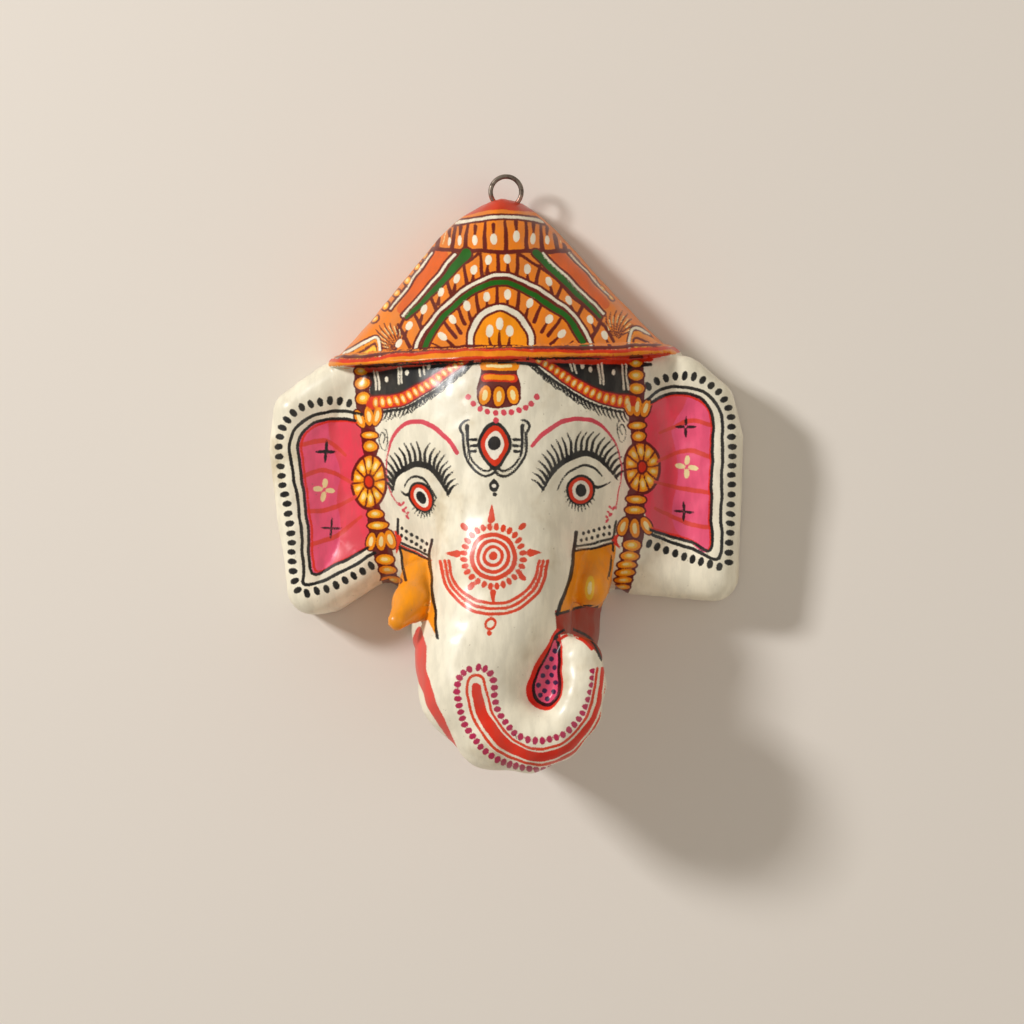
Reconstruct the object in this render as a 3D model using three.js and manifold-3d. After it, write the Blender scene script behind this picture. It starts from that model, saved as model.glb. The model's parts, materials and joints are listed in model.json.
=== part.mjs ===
// Papier-mache elephant mask with a tall crown, lying on its open back.
// Millimetres. +X to the viewer's right, +Y towards the crown's peak, +Z out of the face.
// x = 0 is the middle of the face and z = 0 the plane of the open back's rim.
import * as THREE from 'three';
import { mergeVertices } from 'three/addons/utils/BufferGeometryUtils.js';
import Module from 'manifold-3d';

// Shell
const WALL = 4.5; // thickness of the paper wall
const CELL = 6.8; // spacing of the faceting over the front
const CORE_CELL = 12; // spacing of the faceting inside
const OVERRUN = 7; // how far the forms run on below the back before it is cut flat
const ROOM = { left: 14, right: 15, low: 17, high: 12.5, front: 12 }; // mesh grid past the form

// Crown
const CROWN_PEAK_Y = 139.5; // height of the peak along Y
const BRIM_Y = 55.6; // lower edge of the brim over the middle of the forehead
const BRIM_TILT = 0.034; // rise of the brim from left to right, per mm of X
const BRIM_BOW = 0.0002; // rise of the brim towards both tips
const BRIM_THICK = 6.4; // height of the brim's lip along Y
const BRIM_LIP = 3.2; // how far the lip stands out from the crown
const CROWN_HALF_WIDTH = 88.4; // at the brim
const CROWN_DEPTH = 85.5; // front of the crown at the brim
const CROWN_TOP_DEPTH = 27; // front of the crown at the peak
const CROWN_SPREAD = 1.19; // how much wider its front's curve is than the crown
const CROWN_CURVE = 1.7; // 2 would make the front a half ellipse, and 1 a ridge
const CROWN_CORNER = 9; // rounding between front and sides
const CROWN_DOME = 0.64; // share of the width's profile that rounds off the peak
const CROWN_ROUND = 0.42; // a lower power makes the peak blunter
const CROWN_FLARE = 1.8; // how late the crown flares out towards the brim
const CROWN_SHIFT = 3.2; // the crown's middle lies this far to the right
const CROWN_LEAN = 3.5; // the crown below its peak stands this far to the left
const CROWN_LEAN_BY = 0.1; // share of the height in which it does so
const CROWN_BLEND = 5; // softness of the join under the brim
const UNDER_CROWN = 9; // how far the head reaches up inside the crown
const LIP_SLANT = { front: 0.56, side: 1 }; // how the lip leans back with the crown

// Head
const HEAD_MIDDLE_Y = 20;
const HEAD_HALF = { x: 81, y: 104, z: 85 }; // half sizes of the domed face
const JAW = { x: 0, y: -78, halfX: 48, halfY: 37, halfZ: 66 }; // mouth and jaw behind the trunk
const HEAD_BLEND = 12; // softness of the joins on the face

// Trunk: x, y and z of its middle line and its radius, from the forehead to the curled tip
const TRUNK = [
  [3, 44, 44, 38],
  [3, -8, 52, 37],
  [3, -45, 59, 36.5],
  [0, -72, 64, 35],
  [-8, -92, 70, 32],
  [-10, -105, 75, 27],
  [1, -123, 80, 21.5],
  [16, -129.5, 84, 15.5],
  [30, -126.5, 86, 12.7],
  [40, -116, 86, 11.2],
  [43.3, -103, 84, 10.5],
  [42, -90, 82, 10.6],
];
const TRUNK_BLEND = 4; // softness between the trunk's lengths
const BACK_INSET = 5; // how far the trunk's back stands in from its outline
const BACK_DRAFT = 0.06; // further taper of that back towards the rim, per mm
const TRUNK_BACK = TRUNK.slice(3, 7); // the part of the trunk with a back of its own
const BACK_BLEND = 16; // softness of the join between the trunk's back and the curl's
const RECESS = { x: 22, y: -99, radius: 22, top: 83 }; // painted hollow inside the curl

// Tusks: x, y, z and radius along each
const LEFT_TUSK = [
  [-35, -42, 36, 9],
  [-38, -52, 58, 10],
  [-41.5, -63, 75, 9],
  [-47.5, -71.5, 88, 4.6],
];
const RIGHT_TUSK = [
  [48, -30, 26, 8],
  [46.5, -44, 47, 9.5],
  [45, -56, 60, 9.6],
];
const TUSK_SIDES = 14;

// Ears: corners of each outline before rounding, from the crown round to the jaw
const LEFT_EAR = [
  [-66, 64],
  [-92, 54.5],
  [-115, 38],
  [-118, 12],
  [-107.5, -72],
  [-86, -69.5],
  [-56, -50],
  [-46, 0],
];
const RIGHT_EAR = [
  [66, 66],
  [94, 60.5],
  [115, 43],
  [121, 20],
  [118, -65],
  [86, -61.5],
  [56, -59],
  [46, 0],
];
const EAR_CORNER = 13; // rounding of the outline's corners
const EAR_RIM_Z = 40; // height of the ear's rim above the back
const EAR_TILT = 0.07; // rise of that rim towards the crown, per mm of Y
const EAR_EDGE = 11; // rounding of the rim's edge
const EAR_DISH = 6.5; // depth of the hollow panel
const EAR_RIM_WIDTH = 11; // flat of the rim before the panel falls away
const EAR_PANEL_AT = 34; // distance from the outline where the panel is deepest
const EAR_BLEND = 9;

// Hanging ring
const RING_RADIUS = 7.8; // to the middle of the wire
const WIRE = 2.4; // thickness of the wire
const RING_RISE = 3.9; // middle of the ring above the crown's peak
const RING_AT = [1.2, CROWN_PEAK_Y + RING_RISE, 19];
const RING_CLEARANCE = 0.3; // gap between wire and crown
const PEAK_SOLID = 11; // solid paper under the peak that holds the ring

const mix = (a, b, t) => a + (b - a) * t;
const clamp = (v, low, high) => Math.min(Math.max(v, low), high);
const smoothMin = (a, b, k) => {
  const h = Math.max(k - Math.abs(a - b), 0) / k;
  return Math.min(a, b) - (h * h * k) / 4;
};
const roundedCut = (a, b, r) =>
  Math.min(Math.max(a + r, b + r), 0) + Math.hypot(Math.max(a + r, 0), Math.max(b + r, 0)) - r;
const smoothStep = (from, to, v) => {
  const t = clamp((v - from) / (to - from), 0, 1);
  return t * t * (3 - 2 * t);
};

// Distance to an ellipsoid centred on the origin.
function ellipsoid(x, y, z, half) {
  const near = Math.hypot(x / half.x, y / half.y, z / half.z);
  const slope = Math.hypot(x / half.x ** 2, y / half.y ** 2, z / half.z ** 2);
  return slope < 1e-9 ? -Math.min(half.x, half.y, half.z) : (near * (near - 1)) / slope;
}

// Distance to a run of round limbs through the given points and radii.
function limb(x, y, z, points, blend) {
  let nearest = Infinity;
  for (let i = 0; i + 1 < points.length; i += 1) {
    const [ax, ay, az, ar] = points[i];
    const [bx, by, bz, br] = points[i + 1];
    const dx = bx - ax;
    const dy = by - ay;
    const dz = bz - az;
    const along = ((x - ax) * dx + (y - ay) * dy + (z - az) * dz) / (dx * dx + dy * dy + dz * dz);
    const t = clamp(along, 0, 1);
    const gap = Math.hypot(x - ax - dx * t, y - ay - dy * t, z - az - dz * t) - mix(ar, br, t);
    nearest = i === 0 ? gap : smoothMin(nearest, gap, blend);
  }
  return nearest;
}

// Distance to a polygon's outline in the XY plane, negative inside.
function outline(x, y, corners) {
  let nearest = Infinity;
  let inside = false;
  for (let i = 0, j = corners.length - 1; i < corners.length; j = i, i += 1) {
    const [ax, ay] = corners[i];
    const [bx, by] = corners[j];
    const dx = bx - ax;
    const dy = by - ay;
    const t = clamp(((x - ax) * dx + (y - ay) * dy) / (dx * dx + dy * dy), 0, 1);
    nearest = Math.min(nearest, Math.hypot(x - ax - dx * t, y - ay - dy * t));
    if (ay > y !== by > y && x < (dx * (y - ay)) / dy + ax) inside = !inside;
  }
  return inside ? -nearest : nearest;
}

// Corners of an outline drawn in by the rounding that is added back to it.
function drawnIn(corners, amount) {
  const turn = Math.sign(area(corners));
  const count = corners.length;
  const lines = corners.map(([ax, ay], i) => {
    const [bx, by] = corners[(i + 1) % count];
    const length = Math.hypot(bx - ax, by - ay);
    const dir = [(bx - ax) / length, (by - ay) / length];
    return { at: [ax - dir[1] * turn * amount, ay + dir[0] * turn * amount], dir };
  });
  return lines.map((line, i) => {
    const last = lines[(i + count - 1) % count];
    const cross = last.dir[0] * line.dir[1] - last.dir[1] * line.dir[0];
    const gap = [line.at[0] - last.at[0], line.at[1] - last.at[1]];
    const t = (gap[0] * line.dir[1] - gap[1] * line.dir[0]) / cross;
    return [last.at[0] + last.dir[0] * t, last.at[1] + last.dir[1] * t];
  });
}

function area(corners) {
  return corners.reduce((sum, [ax, ay], i) => {
    const [bx, by] = corners[(i + 1) % corners.length];
    return sum + (ax * by - bx * ay) / 2;
  }, 0);
}

const leftEarCore = drawnIn(LEFT_EAR, EAR_CORNER);
const rightEarCore = drawnIn(RIGHT_EAR, EAR_CORNER);
const earRim = (y) => EAR_RIM_Z + EAR_TILT * y;

// An ear is a plate with a rounded edge and a hollow panel.
function ear(x, y, z, core) {
  const edge = outline(x, y, core) - EAR_CORNER;
  const dish = EAR_DISH * smoothStep(EAR_RIM_WIDTH, EAR_PANEL_AT, -edge);
  return roundedCut(edge, z - earRim(y) + dish, EAR_EDGE);
}

const brimLine = (x) => BRIM_Y + BRIM_TILT * x + BRIM_BOW * x * x;

// Width and depth of the crown, 0 at the peak and 1 at the brim.
const crownMiddle = (t) => CROWN_SHIFT * t - CROWN_LEAN * (1 - Math.exp(-t / CROWN_LEAN_BY));
const crownWidth = (t) =>
  CROWN_HALF_WIDTH * (CROWN_DOME * t ** CROWN_ROUND + (1 - CROWN_DOME) * t ** CROWN_FLARE);
const crownDepth = (t) => mix(CROWN_TOP_DEPTH, CROWN_DEPTH, t ** 0.8);

// Distance to the curve of the crown's front in the XZ plane.
function crownFront(across, z, width, depth) {
  const u = across / width;
  const v = Math.max(z, 0) / depth;
  const near = (u ** CROWN_CURVE + v ** CROWN_CURVE) ** (1 / CROWN_CURVE);
  if (near < 1e-6) return -Math.min(width, depth);
  const power = CROWN_CURVE - 1;
  const slope = Math.hypot((u / near) ** power / width, (v / near) ** power / depth);
  return (near - 1) / slope;
}

function crown(x, y, z) {
  const edge = brimLine(x);
  const t = clamp((CROWN_PEAK_Y - y) / (CROWN_PEAK_Y - edge), 0.004, 1.06);
  const half = crownWidth(t);
  const across = Math.abs(x - crownMiddle(t));
  const front = crownFront(across, z, half * CROWN_SPREAD, crownDepth(t));
  const shell = roundedCut(front, across - half, Math.min(CROWN_CORNER, half * 0.6)) * 0.8;
  const cone = roundedCut(shell, y - CROWN_PEAK_Y, 2);
  return roundedCut(cone, edge + BRIM_THICK * 0.3 - y, 1.5);
}

// The back below the trunk and its curl, standing in from the outline.
function trunkBack(x, y, z) {
  let edge = Infinity;
  for (let i = 1; i < TRUNK_BACK.length; i += 1) {
    const [ax, ay, , ar] = TRUNK_BACK[i - 1];
    const [bx, by, , br] = TRUNK_BACK[i];
    const dx = bx - ax;
    const dy = by - ay;
    const t = clamp(((x - ax) * dx + (y - ay) * dy) / (dx * dx + dy * dy), 0, 1);
    const gap = Math.hypot(x - ax - dx * t, y - ay - dy * t) - mix(ar, br, t) + BACK_INSET;
    edge = i === 1 ? gap : smoothMin(edge, gap, TRUNK_BLEND);
  }
  const filled = Math.hypot(x - RECESS.x, y - RECESS.y) - RECESS.radius;
  edge = smoothMin(edge, filled, BACK_BLEND) + BACK_DRAFT * Math.max(RECESS.top - z, 0);
  return roundedCut(edge, z - RECESS.top, 3);
}

// Signed distance to the mask's outside, without its solid tusks and the brim's lip.
function outside(x, y, z) {
  const head = ellipsoid(x, y - HEAD_MIDDLE_Y, z, HEAD_HALF);
  const jaw = ellipsoid(x - JAW.x, y - JAW.y, z, { x: JAW.halfX, y: JAW.halfY, z: JAW.halfZ });
  let face = smoothMin(head, jaw, HEAD_BLEND);
  face = smoothMin(face, ear(x, y, z, x < 0 ? leftEarCore : rightEarCore), EAR_BLEND);
  const trunk = limb(x, y, z, TRUNK, TRUNK_BLEND);
  face = smoothMin(face, smoothMin(trunk, trunkBack(x, y, z), 5), HEAD_BLEND * 0.8);
  face = roundedCut(face, y - BRIM_Y - UNDER_CROWN, UNDER_CROWN);
  return Math.max(smoothMin(face, crown(x, y, z), CROWN_BLEND), -OVERRUN - z);
}

// The hollow inside stands one wall in from the outside, and deeper under the peak.
function inside(x, y, z) {
  const h = 0.5;
  const at = Math.max(z, 0);
  const steep = Math.hypot(
    (outside(x + h, y, at) - outside(x - h, y, at)) / (2 * h),
    (outside(x, y + h, at) - outside(x, y - h, at)) / (2 * h),
    (outside(x, y, at + h) - outside(x, y, at - h)) / (2 * h),
  );
  const gap = outside(x, y, at) / clamp(steep, 0.6, 1.4) + WALL;
  return Math.max(gap, y - (CROWN_PEAK_Y - PEAK_SOLID), -2 * OVERRUN - z);
}

// Evenly spaced positions from low to high, closer together inside the given stretches.
function spaced(low, high, step, stretches = []) {
  const list = [low];
  while (list[list.length - 1] < high) {
    const at = list[list.length - 1];
    const found = stretches.find((s) => at >= s.from && at < s.to);
    list.push(at + (found ? found.step : step));
  }
  return list;
}

// Whether the marked corners of a cell hang together along the cell's own edges.
function joined(marked) {
  const first = marked.indexOf(true);
  if (first < 0) return true;
  const reached = [first];
  for (const n of reached) {
    for (const bit of [1, 2, 4]) {
      if (marked[n ^ bit] && !reached.includes(n ^ bit)) reached.push(n ^ bit);
    }
  }
  return reached.length === marked.filter(Boolean).length;
}

// Whether a cell lies wholly on one side of the surface.
function even(value, base, step) {
  let solid = 0;
  for (let n = 0; n < 8; n += 1) {
    const at = base + (n & 1) + step[1] * ((n >> 1) & 1) + step[2] * ((n >> 2) & 1);
    if (value[at] < 0) solid += 1;
  }
  return solid === 0 || solid === 8;
}

// Fills in grid corners until the surface passes once through every cell.
function settleCells(value, nx, ny, nz) {
  const step = [1, nx, nx * ny];
  let found = true;
  for (let turn = 0; found && turn < 40; turn += 1) {
    found = false;
    for (let k = 0; k + 1 < nz; k += 1) {
      for (let j = 0; j + 1 < ny; j += 1) {
        for (let i = 0; i + 1 < nx; i += 1) {
          const base = i + step[1] * j + step[2] * k;
          if (even(value, base, step)) continue;
          const at = [0, 1, 2, 3, 4, 5, 6, 7].map(
            (n) => base + (n & 1) + step[1] * ((n >> 1) & 1) + step[2] * ((n >> 2) & 1),
          );
          const solid = at.map((n) => value[n] < 0);
          if (joined(solid) && joined(solid.map((s) => !s))) continue;
          const open = at.filter((n) => value[n] >= 0);
          const nearest = open.reduce((a, b) => (value[b] < value[a] ? b : a));
          value[nearest] = -0.05;
          found = true;
        }
      }
    }
  }
}

// A closed triangle mesh of the surface where the field is zero, over a grid of cells.
function surfaceOf(field, xs, ys, zs) {
  const nx = xs.length;
  const ny = ys.length;
  const nz = zs.length;
  const index = (i, j, k) => i + nx * (j + ny * k);
  const value = new Float64Array(nx * ny * nz);
  for (let k = 0; k < nz; k += 1) {
    for (let j = 0; j < ny; j += 1) {
      for (let i = 0; i < nx; i += 1) value[index(i, j, k)] = field(xs[i], ys[j], zs[k]);
    }
  }
  settleCells(value, nx, ny, nz);
  const vertexOf = new Map();
  const positions = [];
  const cellVertex = (i, j, k) => {
    const key = index(i, j, k);
    if (vertexOf.has(key)) return vertexOf.get(key);
    const sum = [0, 0, 0];
    let count = 0;
    const corner = (n) => [i + (n & 1), j + ((n >> 1) & 1), k + ((n >> 2) & 1)];
    for (let n = 0; n < 8; n += 1) {
      for (const bit of [1, 2, 4]) {
        if (n & bit) continue;
        const a = corner(n);
        const b = corner(n | bit);
        const va = value[index(...a)];
        const vb = value[index(...b)];
        if (va < 0 === vb < 0) continue;
        const t = va / (va - vb);
        sum[0] += mix(xs[a[0]], xs[b[0]], t);
        sum[1] += mix(ys[a[1]], ys[b[1]], t);
        sum[2] += mix(zs[a[2]], zs[b[2]], t);
        count += 1;
      }
    }
    const low = [xs[i], ys[j], zs[k]];
    const high = [xs[i + 1], ys[j + 1], zs[k + 1]];
    const point = onSurface(field, sum.map((s) => s / count), low, high);
    vertexOf.set(key, positions.length / 3);
    positions.push(...point);
    return vertexOf.get(key);
  };
  const faces = [];
  const quad = (a, b, c, d, flip) => {
    const p = (n) => new THREE.Vector3().fromArray(positions, n * 3);
    const split = p(a).distanceTo(p(c)) <= p(b).distanceTo(p(d));
    const parts = split ? [[a, b, c], [a, c, d]] : [[a, b, d], [b, c, d]];
    for (const [e, f, g] of parts) faces.push(...(flip ? [e, g, f] : [e, f, g]));
  };
  for (let k = 1; k + 1 < nz; k += 1) {
    for (let j = 1; j + 1 < ny; j += 1) {
      for (let i = 1; i + 1 < nx; i += 1) {
        const v = value[index(i, j, k)] < 0;
        if (v !== value[index(i + 1, j, k)] < 0) {
          const ring = [[i, j - 1, k - 1], [i, j, k - 1], [i, j, k], [i, j - 1, k]];
          quad(...ring.map((c) => cellVertex(...c)), !v);
        }
        if (v !== value[index(i, j + 1, k)] < 0) {
          const ring = [[i - 1, j, k - 1], [i - 1, j, k], [i, j, k], [i, j, k - 1]];
          quad(...ring.map((c) => cellVertex(...c)), !v);
        }
        if (v !== value[index(i, j, k + 1)] < 0) {
          const ring = [[i - 1, j - 1, k], [i, j - 1, k], [i, j, k], [i - 1, j, k]];
          quad(...ring.map((c) => cellVertex(...c)), !v);
        }
      }
    }
  }
  return { positions, faces };
}

// Moves a point onto the surface while keeping it inside its own cell.
function onSurface(field, start, low, high) {
  const p = [...start];
  const h = 0.2;
  let v = field(...p);
  for (let turn = 0; turn < 4; turn += 1) {
    const slope = [0, 1, 2].map((axis) => {
      const ahead = [...p];
      ahead[axis] += h;
      return (field(...ahead) - v) / h;
    });
    const size = slope[0] ** 2 + slope[1] ** 2 + slope[2] ** 2;
    if (size < 1e-4) break;
    const moved = p.map((at, axis) => {
      const pad = (high[axis] - low[axis]) * 0.08;
      return clamp(at - (v * slope[axis]) / size, low[axis] + pad, high[axis] - pad);
    });
    const after = field(...moved);
    if (Math.abs(after) > Math.abs(v) * 0.9) break;
    moved.forEach((at, axis) => (p[axis] = at));
    v = after;
  }
  return p;
}

// A closed mesh through rings of points, with a flat fan over each end.
function loft(rings) {
  const sides = rings[0].length;
  const positions = rings.flat().flatMap((p) => p.toArray());
  const faces = [];
  for (let r = 0; r + 1 < rings.length; r += 1) {
    for (let i = 0; i < sides; i += 1) {
      const a = r * sides + i;
      const b = r * sides + ((i + 1) % sides);
      faces.push(a, b, b + sides, a, b + sides, a + sides);
    }
  }
  for (const turned of [true, false]) {
    const ring = turned ? rings[0] : rings[rings.length - 1];
    const start = turned ? 0 : (rings.length - 1) * sides;
    const middle = ring.reduce((sum, p) => sum.add(p), new THREE.Vector3()).divideScalar(sides);
    const centre = positions.length / 3;
    positions.push(...middle.toArray());
    for (let i = 0; i < sides; i += 1) {
      const a = start + i;
      const b = start + ((i + 1) % sides);
      faces.push(...(turned ? [b, a, centre] : [a, b, centre]));
    }
  }
  return { positions, faces };
}

// A tusk: rings round the run of points, closed by a round tip.
function tusk(points) {
  const path = new THREE.CatmullRomCurve3(points.map((p) => new THREE.Vector3(...p)));
  const radiusAt = (t) => {
    const at = t * (points.length - 1);
    const i = Math.min(Math.floor(at), points.length - 2);
    return mix(points[i][3], points[i + 1][3], at - i);
  };
  const rings = [];
  const ringAt = (centre, dir, radius) => {
    const side = new THREE.Vector3(1, 0, 0).cross(dir).normalize();
    const up = dir.clone().cross(side);
    rings.push(
      Array.from({ length: TUSK_SIDES }, (_, i) => {
        const a = (i / TUSK_SIDES) * 2 * Math.PI;
        const offset = side.clone().multiplyScalar(Math.cos(a)).addScaledVector(up, Math.sin(a));
        return centre.clone().addScaledVector(offset, radius);
      }),
    );
  };
  const steps = 7;
  for (let i = 0; i <= steps; i += 1) {
    const t = i / steps;
    ringAt(path.getPoint(t), path.getTangent(t), radiusAt(t));
  }
  const end = path.getPoint(1);
  const dir = path.getTangent(1);
  for (const a of [0.45, 0.9, 1.3]) {
    const radius = radiusAt(1);
    ringAt(end.clone().addScaledVector(dir, radius * Math.sin(a)), dir, radius * Math.cos(a));
  }
  return loft(rings);
}

// Evenly turned points on the crown's section at the brim, from the left side over the front.
function brimSection(stations) {
  const middle = CROWN_DEPTH * 0.3;
  return Array.from({ length: stations + 1 }, (_, i) => {
    const a = mix(-0.42, Math.PI + 0.42, i / stations);
    const dir = [-Math.cos(a), Math.sin(a)];
    let reach = 150;
    for (let turn = 0; turn < 40; turn += 1) {
      const at = [dir[0] * reach, middle + dir[1] * reach];
      const across = Math.abs(at[0]);
      const front = crownFront(across, at[1], CROWN_HALF_WIDTH * CROWN_SPREAD, CROWN_DEPTH);
      reach -= roundedCut(front, across - CROWN_HALF_WIDTH, CROWN_CORNER) * 0.9;
    }
    return new THREE.Vector3(dir[0] * reach + crownMiddle(1), 0, middle + dir[1] * reach);
  });
}

// The brim's lip: a rounded bar that follows the crown's lower edge from side to side.
function brimLip() {
  const stations = 46;
  const reach = 5;
  const rings = [];
  const section = brimSection(stations);
  for (let i = 0; i <= stations; i += 1) {
    const at = section[i];
    const ahead = section[Math.min(i + 1, stations)].clone().sub(section[Math.max(i - 1, 0)]);
    const out = new THREE.Vector3(-ahead.z, 0, ahead.x).normalize();
    const y = brimLine(at.x);
    const slant = mix(LIP_SLANT.front, LIP_SLANT.side, Math.abs(out.x));
    const round = 1.8;
    const profile = [
      [-reach, 0],
      [BRIM_LIP - round, 0],
      [BRIM_LIP - round * 0.3, round * 0.3],
      [BRIM_LIP, round],
      [BRIM_LIP, BRIM_THICK - round],
      [BRIM_LIP - round * 0.3, BRIM_THICK - round * 0.3],
      [BRIM_LIP - round, BRIM_THICK],
      [-reach, BRIM_THICK],
    ];
    rings.push(
      profile.map(([o, up]) => {
        const point = at.clone().addScaledVector(out, o - up * slant);
        point.y = y + up;
        return point;
      }),
    );
  }
  return loft(rings);
}

const wasm = await Module();
wasm.setup();

function solidOf(positions, faces) {
  const numProp = 3;
  const vertProperties = new Float32Array(positions);
  const triVerts = new Uint32Array(faces);
  return new wasm.Manifold(new wasm.Mesh({ numProp, vertProperties, triVerts }));
}

// A lofted solid, turned right side out if its rings ran the other way.
function solidOfLoft({ positions, faces }) {
  const solid = solidOf(positions, faces);
  if (solid.volume() > 0) return solid;
  const turned = faces.slice();
  for (let f = 0; f < turned.length; f += 3) [turned[f], turned[f + 1]] = [turned[f + 1], turned[f]];
  return solidOf(positions, turned);
}

function solidOfGeometry(geometry) {
  geometry.deleteAttribute('normal');
  geometry.deleteAttribute('uv');
  const merged = mergeVertices(geometry, 1e-4);
  return solidOf(merged.attributes.position.array, merged.index.array);
}

function geometryOf(solid) {
  const mesh = solid.getMesh();
  const geometry = new THREE.BufferGeometry();
  geometry.setAttribute('position', new THREE.Float32BufferAttribute(mesh.vertProperties, 3));
  geometry.setIndex([...mesh.triVerts]);
  geometry.computeVertexNormals();
  return geometry;
}

const ringGeometry = (wire, sides, round) => {
  const geometry = new THREE.TorusGeometry(RING_RADIUS, wire / 2, sides, round);
  geometry.translate(...RING_AT);
  return geometry;
};

// Mask: outside less its hollow, cut flat at the back, with the ring's channel through the peak
const sideBand = { from: -20, to: 26, step: 9.2 };
const curlBand = { from: -140, to: -76, step: 5.4 };
const left = Math.min(...LEFT_EAR.map(([x]) => x)) - ROOM.left;
const right = Math.max(...RIGHT_EAR.map(([x]) => x)) + ROOM.right;
const lowest = Math.min(...TRUNK.map(([, y, , r]) => y - r)) - ROOM.low;
const highest = CROWN_PEAK_Y + ROOM.high;
const front = Math.max(...TRUNK.map(([, , z, r]) => z + r)) + ROOM.front;
const outerMesh = surfaceOf(
  outside,
  spaced(left, right, CELL),
  spaced(lowest, highest, CELL, [curlBand]),
  spaced(-3 * OVERRUN, front, CELL, [sideBand]),
);
const innerMesh = surfaceOf(
  inside,
  spaced(left, right, CORE_CELL),
  spaced(lowest, highest, CORE_CELL),
  spaced(-4 * OVERRUN, front, CORE_CELL),
);
const cutDepth = 9 * OVERRUN;
const below = new THREE.BoxGeometry(2 * (right - left), 2 * (highest - lowest), cutDepth);
below.translate(0, 0, -cutDepth / 2);
const channel = ringGeometry(WIRE + 2 * RING_CLEARANCE, 10, 28);
const maskSolid = solidOf(outerMesh.positions, outerMesh.faces)
  .add(solidOfLoft(brimLip()))
  .add(solidOfLoft(tusk(LEFT_TUSK)))
  .add(solidOfLoft(tusk(RIGHT_TUSK)))
  .subtract(solidOf(innerMesh.positions, innerMesh.faces))
  .subtract(solidOfGeometry(below))
  .subtract(solidOfGeometry(channel));

const mask = new THREE.Mesh(
  geometryOf(maskSolid),
  new THREE.MeshStandardMaterial({ color: 0xeae0c6, roughness: 0.35, metalness: 0 }),
);
mask.name = 'papier_mache_mask';

const ring = new THREE.Mesh(
  ringGeometry(WIRE, 10, 36),
  new THREE.MeshStandardMaterial({ color: 0x6f625a, roughness: 0.42, metalness: 1 }),
);
ring.name = 'hanging_ring';

const group = new THREE.Group();
group.name = 'elephant_mask';
group.add(mask, ring);

// The origin is the middle of the whole object's box, at its base.
const whole = new THREE.Box3().setFromObject(group);
const middle = whole.getCenter(new THREE.Vector3());
for (const mesh of group.children) mesh.geometry.translate(-middle.x, -middle.y, -whole.min.z);

export default group;
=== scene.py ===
import json
import math

import bmesh
import bpy
import numpy as np
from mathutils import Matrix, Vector


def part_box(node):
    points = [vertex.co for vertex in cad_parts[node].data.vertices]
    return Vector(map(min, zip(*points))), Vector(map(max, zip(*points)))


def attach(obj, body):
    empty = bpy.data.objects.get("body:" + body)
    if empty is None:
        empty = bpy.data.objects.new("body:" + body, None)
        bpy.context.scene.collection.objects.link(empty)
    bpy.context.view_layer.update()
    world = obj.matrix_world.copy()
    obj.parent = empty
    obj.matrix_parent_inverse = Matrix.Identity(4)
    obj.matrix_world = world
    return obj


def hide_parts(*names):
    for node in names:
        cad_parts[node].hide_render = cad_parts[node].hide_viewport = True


bl_info = {
    "name": "Painted elephant mask",
    "version": (1, 0, 0),
    "blender": (4, 5, 0),
    "location": "3D View > Sidebar > Mask",
    "description": "Builds a painted papier-mache elephant mask with its hanging ring",
    "category": "Add Mesh",
}

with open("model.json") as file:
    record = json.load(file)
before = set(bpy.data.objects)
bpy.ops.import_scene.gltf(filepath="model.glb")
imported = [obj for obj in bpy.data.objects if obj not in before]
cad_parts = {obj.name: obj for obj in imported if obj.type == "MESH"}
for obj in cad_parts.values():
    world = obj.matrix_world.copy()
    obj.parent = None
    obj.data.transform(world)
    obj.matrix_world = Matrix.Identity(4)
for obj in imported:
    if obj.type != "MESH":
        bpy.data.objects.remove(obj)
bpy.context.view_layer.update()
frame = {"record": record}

MM = 0.001
MASK_NODE = "papier_mache_mask"
RING_NODE = "hanging_ring"

# The face's own frame, in millimetres: x from the face's middle, y up the face, z out of it.
RING_AT = np.array([1.2, 143.4, 19.0])
ring_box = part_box(RING_NODE)
FACE_TO_ROW = (np.array(ring_box[0]) + np.array(ring_box[1])) / 2 / MM - RING_AT

# The painter's view of the face: a point in it is drawn at (u, v), 2 units to a millimetre.
VIEW_TURN = math.radians(3.7)
VIEW_AWAY = 1800.0
VIEW_AT = np.array([5.6, -18.5, 40.0])
VIEW_MIDDLE = 512.0

# Shell
WALL = 4.5
CROWN_PEAK_Y = 139.5
BRIM_Y, BRIM_TILT, BRIM_BOW = 55.6, 0.034, 0.0002
BRIM_THICK, BRIM_LIP = 6.4, 3.2
CROWN_HALF_WIDTH, CROWN_DEPTH, CROWN_TOP_DEPTH = 88.4, 85.5, 27.0
CROWN_SPREAD, CROWN_CURVE, CROWN_CORNER = 1.19, 1.7, 9.0
CROWN_DOME, CROWN_ROUND, CROWN_FLARE = 0.64, 0.42, 1.8
CROWN_SHIFT, CROWN_LEAN, CROWN_LEAN_BY = 3.2, 3.5, 0.1
CROWN_BLEND, UNDER_CROWN = 5.0, 9.0
HEAD_MIDDLE_Y = 20.0
HEAD_HALF = (81.0, 104.0, 85.0)
JAW_AT, JAW_HALF = (0.0, -78.0), (48.0, 37.0, 66.0)
HEAD_BLEND, EAR_BLEND = 12.0, 9.0
TRUNK = (
    (3, 44, 44, 38),
    (3, -8, 52, 37),
    (3, -45, 59, 36.5),
    (0, -72, 64, 35),
    (-8, -92, 70, 32),
    (-10, -105, 75, 27),
    (1, -123, 80, 21.5),
    (16, -129.5, 84, 15.5),
    (30, -126.5, 86, 12.7),
    (40, -116, 86, 11.2),
    (43.3, -103, 84, 10.5),
    (42, -90, 82, 10.6),
)
TRUNK_BLEND, BACK_FROM, BACK_TO, BACK_INSET = 4.0, 3, 6, 5.0
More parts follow.
